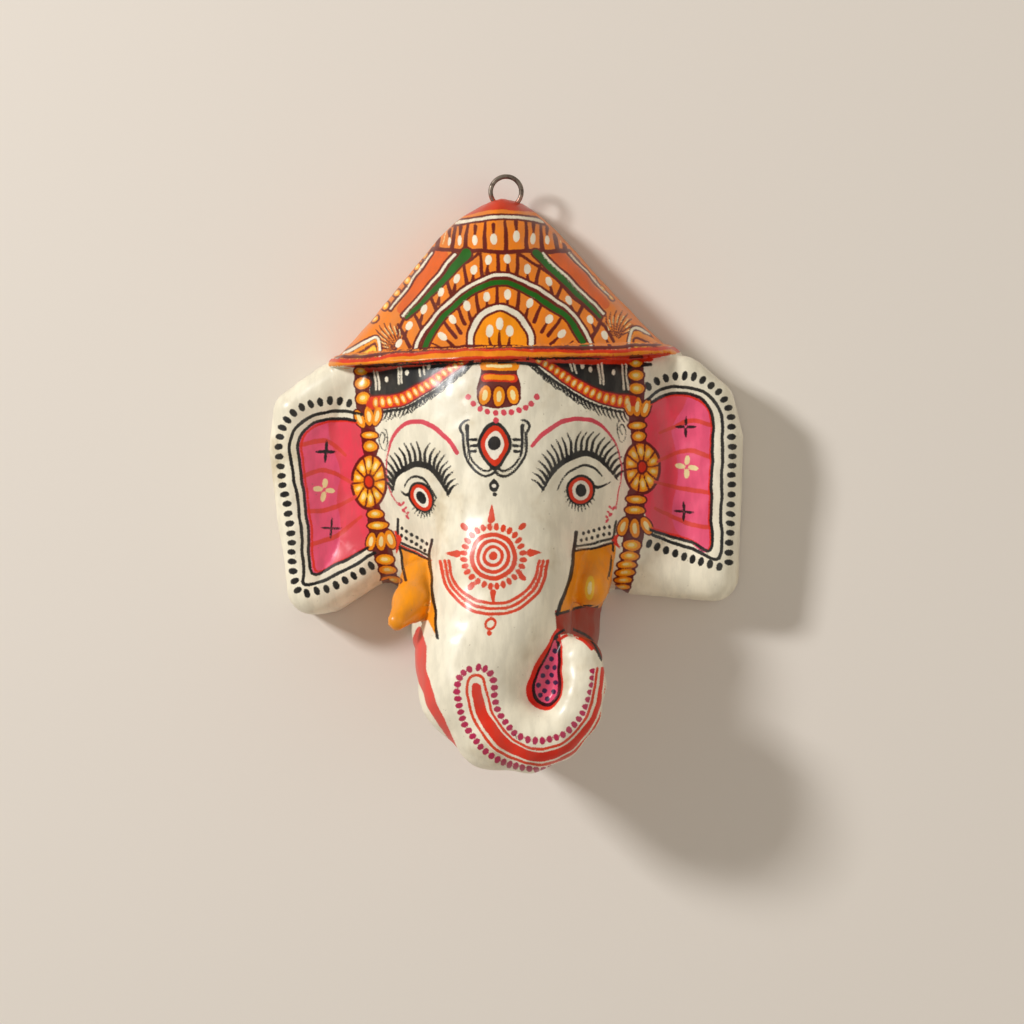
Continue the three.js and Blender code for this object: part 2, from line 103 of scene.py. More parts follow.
BACK_BLEND, BACK_DRAFT = 16.0, 0.06
RECESS_AT, RECESS_RADIUS, RECESS_TOP = (22.0, -99.0), 22.0, 83.0
LEFT_TUSK = ((-35, -42, 36, 9), (-38, -52, 58, 10), (-41.5, -63, 75, 9), (-47.5, -71.5, 88, 4.6))
RIGHT_TUSK = ((48, -30, 26, 8), (46.5, -44, 47, 9.5), (45, -56, 60, 9.6))
LEFT_EAR = ((-66, 64), (-92, 54.5), (-115, 38), (-118, 12), (-107.5, -72), (-86, -69.5), (-56, -50),
    (-46, 0))
RIGHT_EAR = ((66, 66), (94, 60.5), (115, 43), (121, 20), (118, -65), (86, -61.5), (56, -59),
    (46, 0))
EAR_CORNER, EAR_RIM_Z, EAR_TILT, EAR_EDGE = 13.0, 40.0, 0.07, 11.0
EAR_DISH, EAR_RIM_WIDTH, EAR_PANEL_AT = 6.5, 11.0, 34.0
PEAK_SOLID = 11.0

# Mesh
CELL = 3.2
HOLLOW_CELL = 4.4
NET_LOW, NET_HIGH = (-124.0, -152.0), (126.0, 145.0, 106.0)
UNDER_RIM = 1.63
RIM_SNAP, RIM_SNAP_AFTER = 0.75, 0.6
SEEN_STEPS = (3.0, 2.0)
LINE_SHARE, LINE_SPARE = 0.5, 0.3
PAINTED_WITHIN, PAINTED_ABOVE = 0.4, 0.3
WAVES_FROM = (2.0, 12.0)


def smooth_min(a, b, k):
    """The nearer of two distances, blended over k where they meet."""
    h = np.maximum(k - np.abs(a - b), 0) / k
    return np.minimum(a, b) - h * h * k / 4


def rounded_cut(a, b, r):
    """What two shapes share, with a rounded edge."""
    inner = np.minimum(np.maximum(a + r, b + r), 0)
    return inner + np.hypot(np.maximum(a + r, 0), np.maximum(b + r, 0)) - r


def smooth_step(low, high, v):
    """A smooth step from 0 to 1."""
    t = np.clip((v - low) / (high - low), 0, 1)
    return t * t * (3 - 2 * t)


def ellipsoid(x, y, z, half):
    """Distance to an ellipsoid about the origin, near its surface."""
    near = np.sqrt((x / half[0]) ** 2 + (y / half[1]) ** 2 + (z / half[2]) ** 2)
    slope = np.sqrt((x / half[0] ** 2) ** 2 + (y / half[1] ** 2) ** 2 + (z / half[2] ** 2) ** 2)
    return near * (near - 1) / np.maximum(slope, 1e-9)


def limb(p, points, blend):
    """Distance to a run of round limbs."""
    nearest = None
    for a, b in zip(points, points[1:]):
        start, step = np.array(a[:3], float), np.array(b[:3], float) - np.array(a[:3], float)
        t = np.clip((p - start) @ step / (step @ step), 0, 1)
        gap = np.linalg.norm(p - start - t[:, None] * step, axis=1) - (a[3] + (b[3] - a[3]) * t)
        nearest = gap if nearest is None else smooth_min(nearest, gap, blend)
    return nearest


def outline(x, y, corners):
    """Distance to a polygon's outline, negative inside."""
    nearest, inside = np.full(x.shape, 1e9), np.zeros(x.shape, bool)
    for (ax, ay), (bx, by) in zip(corners, corners[1:] + corners[:1]):
        dx, dy = bx - ax, by - ay
        t = np.clip(((x - ax) * dx + (y - ay) * dy) / (dx * dx + dy * dy), 0, 1)
        nearest = np.minimum(nearest, np.hypot(x - ax - dx * t, y - ay - dy * t))
        if dy:
            inside ^= ((ay > y) != (by > y)) & (x < dx * (y - ay) / dy + ax)
    return np.where(inside, -nearest, nearest)


def drawn_in(corners, amount):
    """Corners of an outline drawn in by the rounding that is added back to it."""
    area = sum(a[0] * b[1] - b[0] * a[1] for a, b in zip(corners, corners[1:] + corners[:1]))
    turn, lines = math.copysign(1, area), []
    for (ax, ay), (bx, by) in zip(corners, corners[1:] + corners[:1]):
        length = math.hypot(bx - ax, by - ay)
        dx, dy = (bx - ax) / length, (by - ay) / length
        lines.append((ax - dy * turn * amount, ay + dx * turn * amount, dx, dy))
    found = []
    for last, line in zip(lines[-1:] + lines[:-1], lines):
        cross = last[2] * line[3] - last[3] * line[2]
        t = ((line[0] - last[0]) * line[3] - (line[1] - last[1]) * line[2]) / cross
        found.append((last[0] + last[2] * t, last[1] + last[3] * t))
    return tuple(found)


LEFT_EAR_CORE = drawn_in(LEFT_EAR, EAR_CORNER)
RIGHT_EAR_CORE = drawn_in(RIGHT_EAR, EAR_CORNER)


def ear(x, y, z, core):
    """Distance to one ear, dished inside its rounded rim."""
    edge = outline(x, y, core) - EAR_CORNER
    dish = EAR_DISH * smooth_step(EAR_RIM_WIDTH, EAR_PANEL_AT, -edge)
    return rounded_cut(edge, z - (EAR_RIM_Z + EAR_TILT * y) + dish, EAR_EDGE)


def crown(x, y, z):
    """Distances to the crown and to the lip of its brim."""
    edge = BRIM_Y + BRIM_TILT * x + BRIM_BOW * x * x
    t = np.clip((CROWN_PEAK_Y - y) / (CROWN_PEAK_Y - edge), 0.004, 1.06)
    half = CROWN_HALF_WIDTH * (CROWN_DOME * t**CROWN_ROUND + (1 - CROWN_DOME) * t**CROWN_FLARE)
    depth = CROWN_TOP_DEPTH + (CROWN_DEPTH - CROWN_TOP_DEPTH) * t**0.8
    across = np.abs(x - CROWN_SHIFT * t + CROWN_LEAN * (1 - np.exp(-t / CROWN_LEAN_BY)))
    u, v = across / (half * CROWN_SPREAD), np.maximum(z, 0) / depth
    near = np.maximum((u**CROWN_CURVE + v**CROWN_CURVE) ** (1 / CROWN_CURVE), 1e-6)
    power = CROWN_CURVE - 1
    slope = np.hypot((u / near) ** power / (half * CROWN_SPREAD), (v / near) ** power / depth)
    front = (near - 1) / np.maximum(slope, 1e-6)
    shell = rounded_cut(front, across - half, np.minimum(CROWN_CORNER, half * 0.6)) * 0.8
    body = rounded_cut(rounded_cut(shell, y - CROWN_PEAK_Y, 2), edge + BRIM_THICK * 0.3 - y, 1.5)
    middle = np.abs(y - edge - BRIM_THICK / 2) - BRIM_THICK / 2
    return body, rounded_cut(shell - BRIM_LIP * 0.8, middle, 2.2)


def trunk_back(x, y, z):
    """Distance to what fills the trunk out down to the rim."""
    edge = None
    for a, b in zip(TRUNK[BACK_FROM:BACK_TO], TRUNK[BACK_FROM + 1 :]):
        dx, dy = b[0] - a[0], b[1] - a[1]
        t = np.clip(((x - a[0]) * dx + (y - a[1]) * dy) / (dx * dx + dy * dy), 0, 1)
        gap = np.hypot(x - a[0] - dx * t,
            y - a[1] - dy * t) - (a[3] + (b[3] - a[3]) * t) + BACK_INSET
        edge = gap if edge is None else smooth_min(edge, gap, TRUNK_BLEND)
    filled = np.hypot(x - RECESS_AT[0], y - RECESS_AT[1]) - RECESS_RADIUS
    edge = smooth_min(edge, filled, BACK_BLEND) + BACK_DRAFT * np.maximum(RECESS_TOP - z, 0)
    return rounded_cut(edge, z - RECESS_TOP, 3)


def outside(p, finished=True):
    """Distance to the mask's outside, with its tusks and the brim's lip if finished."""
    x, y, z = p.T
    head = ellipsoid(x, y - HEAD_MIDDLE_Y, z, HEAD_HALF)
    jaw = ellipsoid(x - JAW_AT[0], y - JAW_AT[1], z, JAW_HALF)
    face = smooth_min(head, jaw, HEAD_BLEND)
    ears = np.where(x < 0, ear(x, y, z, LEFT_EAR_CORE), ear(x, y, z, RIGHT_EAR_CORE))
    face = smooth_min(face, ears, EAR_BLEND)
    trunk = smooth_min(limb(p, TRUNK, TRUNK_BLEND), trunk_back(x, y, z), 5)
    face = smooth_min(face, trunk, HEAD_BLEND * 0.8)
    if finished:
        face = smooth_min(face, limb(p, LEFT_TUSK, 3), 2.5)
        face = smooth_min(face, limb(p, RIGHT_TUSK, 3), 3)
    face = rounded_cut(face, y - BRIM_Y - UNDER_CROWN, UNDER_CROWN)
    body, lip = crown(x, y, z)
    face = smooth_min(face, body, CROWN_BLEND)
    return np.minimum(face, lip) if finished else face


def slope_of(field, p, h=0.3):
    """A field's value and slope at each point."""
    v = field(p)
    steps = [field(p + h * axis) - v for axis in np.eye(3)]
    return v, np.stack(steps, axis=1) / h


def hollow(p):
    """Distance to the hollow inside, which stands one wall in from the outside."""
    q = np.stack([p[:, 0], p[:, 1], np.maximum(p[:, 2], 0)], axis=1)
    v, slope = slope_of(lambda r: outside(r, False), q, 0.5)
    gap = v / np.clip(np.linalg.norm(slope, axis=1), 0.6, 1.4) + WALL
    return np.maximum(gap, p[:, 1] - (CROWN_PEAK_Y - PEAK_SOLID))


def surface_net(field, low, high, cell):
    """Corners and four-sided faces of the surface where the field is zero."""
    axes = [np.arange(a, b + cell, cell) for a, b in zip(low, high)]
    grid = np.stack(np.meshgrid(*axes, indexing="ij"), axis=-1)
    shape = grid.shape[:3]
    flat = grid.reshape(-1, 3)
    value = np.concatenate([field(part) for part in np.array_split(flat, 16)]).reshape(shape)
    cells = tuple(n - 1 for n in shape)
    total, count = np.zeros(cells + (3,)), np.zeros(cells)
    crossings = []
    for axis in range(3):
        lower = [slice(None)] * 3
        upper = [slice(None)] * 3
        lower[axis], upper[axis] = slice(0, -1), slice(1, None)
        a, b = value[tuple(lower)], value[tuple(upper)]
        crossed = (a < 0) != (b < 0)
        t = np.where(crossed, a / np.where(crossed, a - b, 1), 0)[..., None]
        at = grid[tuple(lower)] + t * (grid[tuple(upper)] - grid[tuple(lower)])
        others = [k for k in range(3) if k != axis]
        for first in (slice(0, -1), slice(1, None)):
            for second in (slice(0, -1), slice(1, None)):
                part = [slice(None)] * 3
                part[others[0]], part[others[1]] = first, second
                total += at[tuple(part)] * crossed[tuple(part)][..., None]
                count += crossed[tuple(part)]
        crossings.append((crossed, a < 0))
    number = np.full(cells, -1)
    used = count > 0
    number[used] = np.arange(used.sum())
    points = total[used] / count[used][:, None]
    quads = []
    for axis, (crossed, solid) in enumerate(crossings):
        i, j, k = np.nonzero(crossed)
        at = np.stack([i, j, k], axis=1)
        first, second = (axis + 1) % 3, (axis + 2) % 3
        inner = (at[:, first] > 0) & (at[:, second] > 0)
        inner &= (at[:, first] < cells[first]) & (at[:, second] < cells[second])
        at = at[inner]
        ring = []
        for back in ((1, 1), (0, 1), (0, 0), (1, 0)):
            corner = at.copy()
            corner[:, first] -= back[0]
            corner[:, second] -= back[1]
            ring.append(number[tuple(corner.T)])
        ring = np.stack(ring, axis=1)
        flip = ~solid[tuple(at.T)]
        ring[flip] = ring[flip][:, ::-1]
        quads.append(ring)
    return points, np.concatenate(quads)


def settle(field, p, turns=4, reach=2.0):
    """Moves points onto the surface where the field is zero."""
    for _ in range(turns):
        v, slope = slope_of(field, p)
        size = np.maximum((slope**2).sum(axis=1), 0.05)
        move = -(v / size)[:, None] * slope
        long = np.linalg.norm(move, axis=1)
        p = p + move * np.minimum(1, reach / np.maximum(long, 1e-9))[:, None]
    return p


# Paint: shapes in view units, laid in order from the ground up
LAYERS = 6
REACH = 12.0
TUSK_PAINT = 1.6
STEEP, EAR_SIDE = (0.05, 0.22), (76, 82)
INKS = {
    "cream": "F7EEDC",
    "petal_cream": "F2DFA4",
    "petal": "FC9600",
    "yellow": "FFC838",
    "brim_orange": "F28C0C",
    "orange": "F08206",
    "side_orange": "E4600A",
    "scarlet": "DE3308",
    "cap_red": "D2340C",
    "sun_red": "E2401A",
    "red": "E62A0C",
    "dark_red": "640B05",
    "brow_red": "DE4254",
    "white": "F4EAD2",
    "green": "136407",
    "black": "0D0C0D",
    "rose": "F0587E",
    "stripe_red": "E04438",
    "plum": "B81F50",
    "gold": "FA9A00",
    "violet": "2A1B4A",
    "wine": "A32A0C",
    "glow": "FFEBA8",
    "ear_red": "EC4056",
}
shapes = []


def ink(name):
    """The colour of an ink as linear red, green and blue."""
    parts = [int(INKS[name][k : k + 2], 16) / 255 for k in (0, 2, 4)]
    return [c / 12.92 if c <= 0.04045 else ((c + 0.055) / 1.055) ** 2.4 for c in parts]


def curve(points, closed=False, steps=5):
    """A smooth run of points through the given ones."""
    p = np.array(points, float)
    n = len(p)
    if n < 3:
        return p
    found = []
    for k in range(n if closed else n - 1):
        if closed:
            a, b, c, d = (p[(k + m) % n] for m in (-1, 0, 1, 2))
        else:
            a, b, c, d = (p[min(max(k + m, 0), n - 1)] for m in (-1, 0, 1, 2))
        for t in np.arange(steps) / steps:
            bend = 2 * b + (c - a) * t + (2 * a - 5 * b + 4 * c - d) * t * t
            found.append(0.5 * (bend + (3 * b - a - 3 * c + d) * t**3))
    if not closed:
        found.append(p[-1])
    return np.array(found)


def along(points, count, start=0.0, end=1.0):
    """Places at equal steps on a smooth path: x, y and the path's direction in radians."""
    path = curve(points)
    step = np.diff(path, axis=0)
    run = np.concatenate([[0], np.cumsum(np.hypot(*step.T))])
    places = []
    for s in np.linspace(start, end, count) * run[-1]:
        k = min(max(np.searchsorted(run, s) - 1, 0), len(step) - 1)
        t = (s - run[k]) / max(run[k + 1] - run[k], 1e-9)
        x, y = path[k] + step[k] * t
        places.append((x, y, math.atan2(step[k][1], step[k][0])))
    return places


def line(layer, tint, points, width, smooth=True):
    """A brush line. The width is one number, or several spread evenly along it."""
    path = curve(points) if smooth else np.array(points, float)
    widths = np.atleast_1d(np.array(width, float))
    at = np.linspace(0, 1, len(path))
    radii = np.interp(at, np.linspace(0, 1, len(widths)), widths) / 2
    shapes.append(("line", layer, tint, path, radii))


def area(layer, tint, points, smooth=True):
    """A filled outline."""
    path = curve(points, True) if smooth else np.array(points, float)
    shapes.append(("area", layer, tint, path, None))


def dab(layer, tint, x, y, rx, ry=None, turn=0.0, hollow_width=0.0):
    """A filled oval, or only its ring if it has a ring's width. The turn is in radians."""
    shapes.append(("oval", layer, tint, np.array([[x, y]]), (rx, ry or rx, turn, hollow_width)))


def oval_row(points, count, tint, rx, ry):
    """Ovals that lie across a smooth path."""
    for x, y, turn in along(points, count):
        dab(1, tint, x, y, rx, ry, turn + math.pi / 2)


def drop(layer, tint, x, y, length, width, turn):
    """A teardrop about (x, y), its thin end towards the turn's direction."""
    dx, dy = math.cos(turn) * length / 2, math.sin(turn) * length / 2
    points = [(x + dx * k, y + dy * k) for k in (-0.55, -0.2, 0.3, 1)]
    line(layer, tint, points, (width * 0.86, width, width * 0.62, 0.4), False)


def bead(x, y, rx, ry, turn=0.0):
    """A painted bead with a dark edge and a light spot."""
    dab(2, "dark_red", x, y, rx + 1.2, ry + 1.2, turn)
    dab(3, "petal", x, y, rx - 0.6, ry - 0.6, turn)
    dab(4, "yellow", x, y, rx * 0.58, ry * 0.55, turn)
    dab(5, "glow", x - rx * 0.06, y - ry * 0.05, rx * 0.34, ry * 0.3, turn)


def petal(x, y, long, wide, turn):
    """One petal of a strap's fan: half its length and width, and its direction."""
    dab(2, "dark_red", x, y, long + 1.2, wide + 1.2, turn)
    dab(3, "petal", x, y, long - 0.4, wide - 0.4, turn)
    dab(4, "glow", x, y, long * 0.55, wide * 0.42, turn)


def seed(x, y, rx, ry, stem, turn):
    """A white drop with a dark stem that leaves it in the turn's direction."""
    dx, dy = math.cos(turn), math.sin(turn)
    dab(3, "white", x, y, ry, rx, turn)
    near, far = ry * 0.8, ry + stem
    stem_ends = [(x + dx * k, y + dy * k) for k in (near, far)]
    line(2, "dark_red", stem_ends, (2, 4.2), False)


def wheel(x, y, rx, ry, petals):
    """A rosette like a wheel, with light petals between dark spokes and a red middle."""
    dab(1, "dark_red", x, y, rx + 1.4, ry + 1.4)
    dab(2, "petal", x, y, rx - 1.4, ry - 1.4)
    for k in range(petals):
        turn = 2 * math.pi * (k + 0.35) / petals
        cx, sy = rx * math.cos(turn), ry * math.sin(turn)
        long = math.hypot(cx, sy)
        way = math.atan2(sy, cx)
        dab(4, "yellow", x + cx * 0.66, y + sy * 0.66, long * 0.22, rx * 0.17, way)
        dab(5, "glow", x + cx * 0.66, y + sy * 0.66, long * 0.13, rx * 0.09, way)
        turn += math.pi / petals
        cx, sy = rx * math.cos(turn), ry * math.sin(turn)
        spoke = [(x + cx * k, y + sy * k) for k in (0.2, 0.98)]
        line(3, "dark_red", spoke, (1.6, 2.2), False)
    dab(4, "dark_red", x, y, rx * 0.32, ry * 0.3)
    dab(5, "scarlet", x, y, rx * 0.21, ry * 0.21)


def edged(layer, tint, points, width, edge=2.2):
    """A line with a dark edge on both sides."""
    widths = np.atleast_1d(np.array(width, float))
    line(layer - 1, "dark_red", points, widths + 2 * edge)
    line(layer, tint, points, widths)


def paint_crown():
    """The tall cap: petals in bands and arches, stripes down the sides, the brim's lines, and a
    black line painted as the brim's shadow.
    """
    brim = [(300, 352), (345, 359), (372, 360), (399, 354), (433, 350), (468, 348), (537, 348),
        (628, 350), (663, 347), (720, 340)]
    area(0, "orange", brim + [(720, 90), (300, 90)], False)
    lip = [(329, 358)] + brim[1:-1] + [(686, 346)]
    deep = [float(np.interp(x, (329, 385, 620, 686), (4, 15, 15, 6))) for x, _ in lip]
    under = [(x, y + more) for (x, y), more in zip(lip, deep)]
    area(0, "scarlet", lip + under[::-1], False)
    # cap
    area(1, "cap_red", [(420, 150), (590, 150), (590, 230), (556, 219), (529, 211.5), (503, 209.5),
        (478, 211.5), (452, 219.5), (424, 230)], False)
    edged(3, "white", [(440, 227), (452, 223.5), (477, 219), (503, 217), (527, 218.5), (550, 224),
        (562, 228)], 3, 2)
    # first band of petals
    up, down = -math.pi / 2, math.pi / 2
    for x, y, rx, ry in ((449, 241, 1.6, 4.5), (459.7, 240, 2, 5), (475, 240, 2.6, 5.3),
            (493.7, 238.8, 3.4, 5.6), (516, 237, 3.3, 6), (533.2, 238.6, 2.6, 5.8),
            (547.6, 240, 2.2, 4.6)):
        seed(x, y, rx, ry, 8.5, up)
    for x, lean in ((440, -5.5), (454, -3), (466.5, -1.8), (485, -0.8), (505.5, 0.5), (526, 1.4),
            (541.2, 2), (555, 3), (562, 5)):
        line(2, "dark_red", [(x - lean * 0.35, 222), (x + lean * 0.2, 236), (x + lean * 0.6, 249)],
            (2.6, 4, 4.4))
    for x, lean in ((434, -7), (445, -5), (559, 4), (566, 6)):
        line(3, "glow", [(x - lean * 0.2, 230), (x + lean * 0.5, 244)], (0.8, 1.8, 0.6), False)
    line(2, "dark_red", [(424, 249), (440, 249.5), (470, 250.5), (500, 252), (540, 251.5),
        (574, 251)], 4.2)
    # stripes and beads down the sides
    for a, b, c, width in (
        ((441, 255), (421, 281), (402, 309), (15, 15, 10)),
        ((557, 255), (583, 281), (606, 305), (13, 12, 8)),
    ):
        line(1, "side_orange", [a, b, c], width)
    for tint, a, b, c, width in (
        ("white", (432, 253), (411, 281), (390.5, 309), 1.8),
        ("white", (455, 254), (430, 284), (403, 316), 2.4),
        ("green", (466, 253), (438, 286), (406, 318), (10, 5.5, 2.4)),
        ("green", (536, 253), (566, 283), (601, 317), (7.5, 5.5, 2.4)),
        ("white", (542.5, 253), (570, 280), (604, 313.5), 2.4),
        ("white", (569, 253), (590, 275), (611, 297), 1.8),
    ):
        edged(3, tint, [a, b, c], width, 2)
    for x, y in ((425.5, 255), (418, 266.5), (408.5, 280), (397.5, 293), (386.5, 306), (376, 319)):
        bead(x - 1, y, 4.6, 3.4, -0.9)
    for x, y in ((580, 258), (587.5, 267), (595, 277), (603, 287), (610, 297)):
        bead(x + 1, y, 4.4, 2.6, 0.9)
    # outer band of seeds round the white arch
    seeds = [(398.9, 343), (408.7, 326), (423.9, 309), (441.3, 292), (457, 279), (474.2, 269.5),
        (488.4, 260), (507.5, 258.7), (527, 269), (548.8, 282), (569, 300.5), (590.6, 319),
        (604.3, 335)]
    for k, (x, y) in enumerate(seeds):
        lean = (502 - x) * 0.0045
        seed(x, y, 3.1 + 0.4 * (abs(x - 500) < 40), 4.8, 8, down + lean)
        if k:
            px, py = seeds[k - 1]
            mx, my = (x + px) / 2, (y + py) / 2
            side = (502 - mx) * 0.055
            if k != 7:
                line(2, "dark_red", [(mx - side, my - 10), (mx, my + 1),
                    (mx + side * 1.2, my + 12)], (2.8, 3.6, 4.2))
    line(2, "dark_red", [(498, 252), (498.4, 261), (498.6, 273)], (3.4, 3.8, 4.2))
    line(2, "dark_red", [(397, 333), (408, 313), (430, 295), (452, 272), (468, 261), (478, 254)], 3)
    line(2, "dark_red", [(519, 254), (530, 262), (551, 275), (575, 299), (598, 318), (614, 341)], 3)
    # arches
    arch = [(415, 352), (419, 340), (429, 323), (447, 304), (467, 288), (486, 278), (500, 275),
        (514, 277), (532, 285), (550, 297), (569, 311), (584, 329), (592, 350)]
    edged(3, "white", arch, 3, 2.3)
    edged(3, "green", [(424, 352), (429, 338), (440, 321), (456, 304.5), (472, 292), (487, 284.5),
        (500, 282.5), (514, 284.5), (531, 293), (549, 305), (567, 318), (578, 333), (586, 350)],
        (5.4, 4.8, 4.8, 4.8, 5, 5.4), 2.1)
    # inner fan
    inner = [(442.5, 336), (453, 320), (467, 306), (486.6, 296.6), (508, 294.5), (529.3, 303),
        (549, 319), (562, 333.5)]
    for k, (x, y) in enumerate(inner):
        turn = math.atan2(372 - y, (501 - x) * 0.62)
        seed(x, y, 3.5, 5.2, 10, turn)
        if k:
            px, py = inner[k - 1]
            mx, my = (x + px) / 2, (y + py) / 2 - 1
            dx, dy = (501 - mx) * 0.62, 372 - my
            size = math.hypot(dx, dy)
            line(2, "dark_red", [(mx - dx / size * 8, my - dy / size * 8),
                (mx + dx / size * 13, my + dy / size * 13)], (3, 4.2), False)
    for x, y, tx, ty in ((431, 343, 446, 350), (573, 341, 560, 350), (441, 349, 455, 351),
            (566, 348, 552, 351)):
        line(2, "dark_red", [(x, y), (tx, ty)], (1.6, 2.6), False)
    # middle dome
    dome = [(470.5, 350), (471, 333), (479, 318), (491, 309.5), (500, 306.6), (511, 310.5),
        (522, 319), (530, 333), (531.5, 350)]
    area(1, "petal", dome)
    edged(3, "white", dome, 5, 2.4)
    for x, y, rx, ry in ((489.5, 331, 3.8, 6), (499.6, 324, 3.8, 6.2), (510, 330.5, 3.8, 6)):
        dab(4, "white", x, y, rx, ry)
        line(2, "dark_red", [(x, y + 6), (500 + (x - 500) * 0.8, 349)], (1.6, 4.6), False)
    # shells at both ends
    for px, py, way in ((401, 352, -2.25), (612, 343, -1.25)):
        for k in range(-4, 5):
            turn = way + k * 0.17
            reach = 34 - 1.3 * k * k * 0.6
            cx, sy = math.cos(turn), math.sin(turn)
            middle = (px + cx * reach * 0.7 - 1.5, py + sy * reach * 0.7)
            tip = (px + cx * reach, py + sy * reach)
            line(2, "dark_red", [(px + cx * 8, py + sy * 8), middle, tip], (1, 1.8, 1.2))
            if k < 4:
                cx, sy = math.cos(turn + 0.085), math.sin(turn + 0.085)
                lit = [(px + cx * reach * k, py + sy * reach * k) for k in (0.62, 0.86)]
                line(3, "glow", lit, (0.8, 2.6, 1), False)
    for side in ([(336, 358), (350, 350.5), (364, 342), (376, 337.5), (379, 346), (380, 359)],
            [(629, 352), (630, 338), (634, 328), (648, 332), (664, 341), (680, 350)]):
        cx = 372 if side[0][0] < 500 else 640
        for shrink, tint, width in (
            (0.85, "petal", 3.4),
            (0.66, "dark_red", 2.4),
            (0.45, "yellow", 3.4),
            (0.22, "scarlet", 3.4),
        ):
            drawn = [(cx + (x - cx) * shrink, 357 + (y - 357) * shrink) for x, y in side]
            line(2, tint, drawn, width)
        edged(3, "white", side, 2.6, 1.5)
    # brim: its bands of paint, and below them a black line painted as the brim's shadow on the
    # forehead
    edge = [(331, 362), (345, 364), (364, 362.5), (399, 358), (433, 355), (468, 352.5), (500, 352),
        (537, 353), (582, 354), (617, 354), (651, 351), (684, 349.5)]
    # The lowest of these lines, the black one, is painted shadow: the shade that the brim's lip
    # casts on the forehead.
    for drop_by, tint, width, layer in ((-5.4, "dark_red", 3.6, 4), (-1.8, "scarlet", 4, 4),
            (1.4, "brim_orange", 5.4, 5), (6.4, "scarlet", 5, 3), (10.6, "black", 3.6, 2)):
        reach_in = edge[2:-1] if drop_by > 5 else edge
        line(layer, tint, [(x, y + drop_by * (1 + 0.002 * abs(x - 500))) for x, y in reach_in],
            width)


def paint_brow_band():
    """Under the brim: the black band, swags of beads, the fringe of hair and the pendant."""
    area(1, "black", [(368, 366), (371, 400), (392, 400), (408, 394), (424, 386), (440, 374),
        (456, 364), (478, 356), (440, 355), (400, 358)], False)
    area(1, "black", [(524, 356), (541, 361), (558, 371), (577, 385), (597, 394), (632, 400),
        (633, 364), (600, 358), (560, 355)], False)
    for x, y, tx, ty in ((374, 371, 376, 390), (377, 371, 379.5, 390), (398, 367, 399, 384),
            (401, 367, 402, 383), (419.5, 369, 421, 376), (423.5, 365, 425, 374),
            (597.5, 361, 600, 383), (601, 361, 603.5, 384), (621.5, 362, 624, 390),
            (625.5, 362, 628, 390), (570, 363, 573, 371), (574, 363, 577, 373)):
        line(3, "white", [(x, y), (tx, ty)], 1.9, False)
    for x, y in ((386, 379), (407, 373), (429, 367), (590.6, 369), (613, 373), (583, 366)):
        dab(3, "white", x, y, 1.9, 2.9)
    for swag, hair, lean in (
        ([(373, 403), (390, 401.5), (405, 397.5), (422, 388.5), (439, 377), (455, 366), (466, 360)],
        [(378, 413), (404, 408), (422, 399), (439, 387), (457, 373), (473, 360)], -1),
        ([(536, 359), (546, 364), (560, 373), (577, 385), (597, 395), (615, 400), (632, 402)],
        [(528, 360), (545, 374), (560, 384), (577, 396), (597, 406), (624, 412)], 1),
    ):
        thick = (15.5, 15, 12.5, 9) if lean < 0 else (9, 12.5, 15, 15.5)
        line(2, "dark_red", swag, thick)
        line(3, "scarlet", swag, [w - 3 for w in thick])
        for k, (x, y, turn) in enumerate(along(swag, 15, 0.03, 0.95)):
            size = np.interp(k / 14, (0, 0.33, 0.66, 1), thick) * 0.34
            dab(4, "petal", x, y, size, 2.7, turn + math.pi / 2)
            dab(5, "glow", x, y, size * 0.62, 1.4, turn + math.pi / 2)
        line(1, "black", hair, (3, 3, 2))
        for k, (x, y, turn) in enumerate(along(hair, 25, 0.0, 1)):
            long = 10.5 + 1.5 * math.sin(k * 2.3)
            line(1, "black", [(x, y - 1), (x + lean * long * 0.22, y + long * 0.55),
                (x + lean * long * 0.55, y + long * 0.98)], (2.4, 1.9, 0.9))
    area(1, "dark_red", [(480, 357), (519, 357), (517, 373), (521, 388), (521.5, 399), (512, 407),
        (499, 408.5), (485, 406.5), (476, 398), (477, 387), (481, 373)], False)
    line(2, "petal", [(484, 366), (515, 366)], 9, False)
    line(3, "glow", [(487, 366), (511, 366)], (3, 5.4, 3), False)
    line(2, "scarlet", [(485, 378), (513.5, 378)], 8, False)
    line(3, "petal", [(486, 377.5), (512, 377.5)], 5, False)
    for x, y, turn in ((484.6, 395, 1.8), (498.8, 396.6, 1.57), (513, 395, 1.34)):
        petal(x, y, 10, 6.2, turn)
    for x, y in ((468, 397), (473, 404), (480, 409), (487.5, 411.5), (496, 412.5), (504, 412.5),
            (511.5, 412.5), (519, 410.5), (525.5, 407.5), (531, 403.5), (537, 397), (496, 420)):
        dab(2, "brow_red", x, y, 2.9, 3.1)


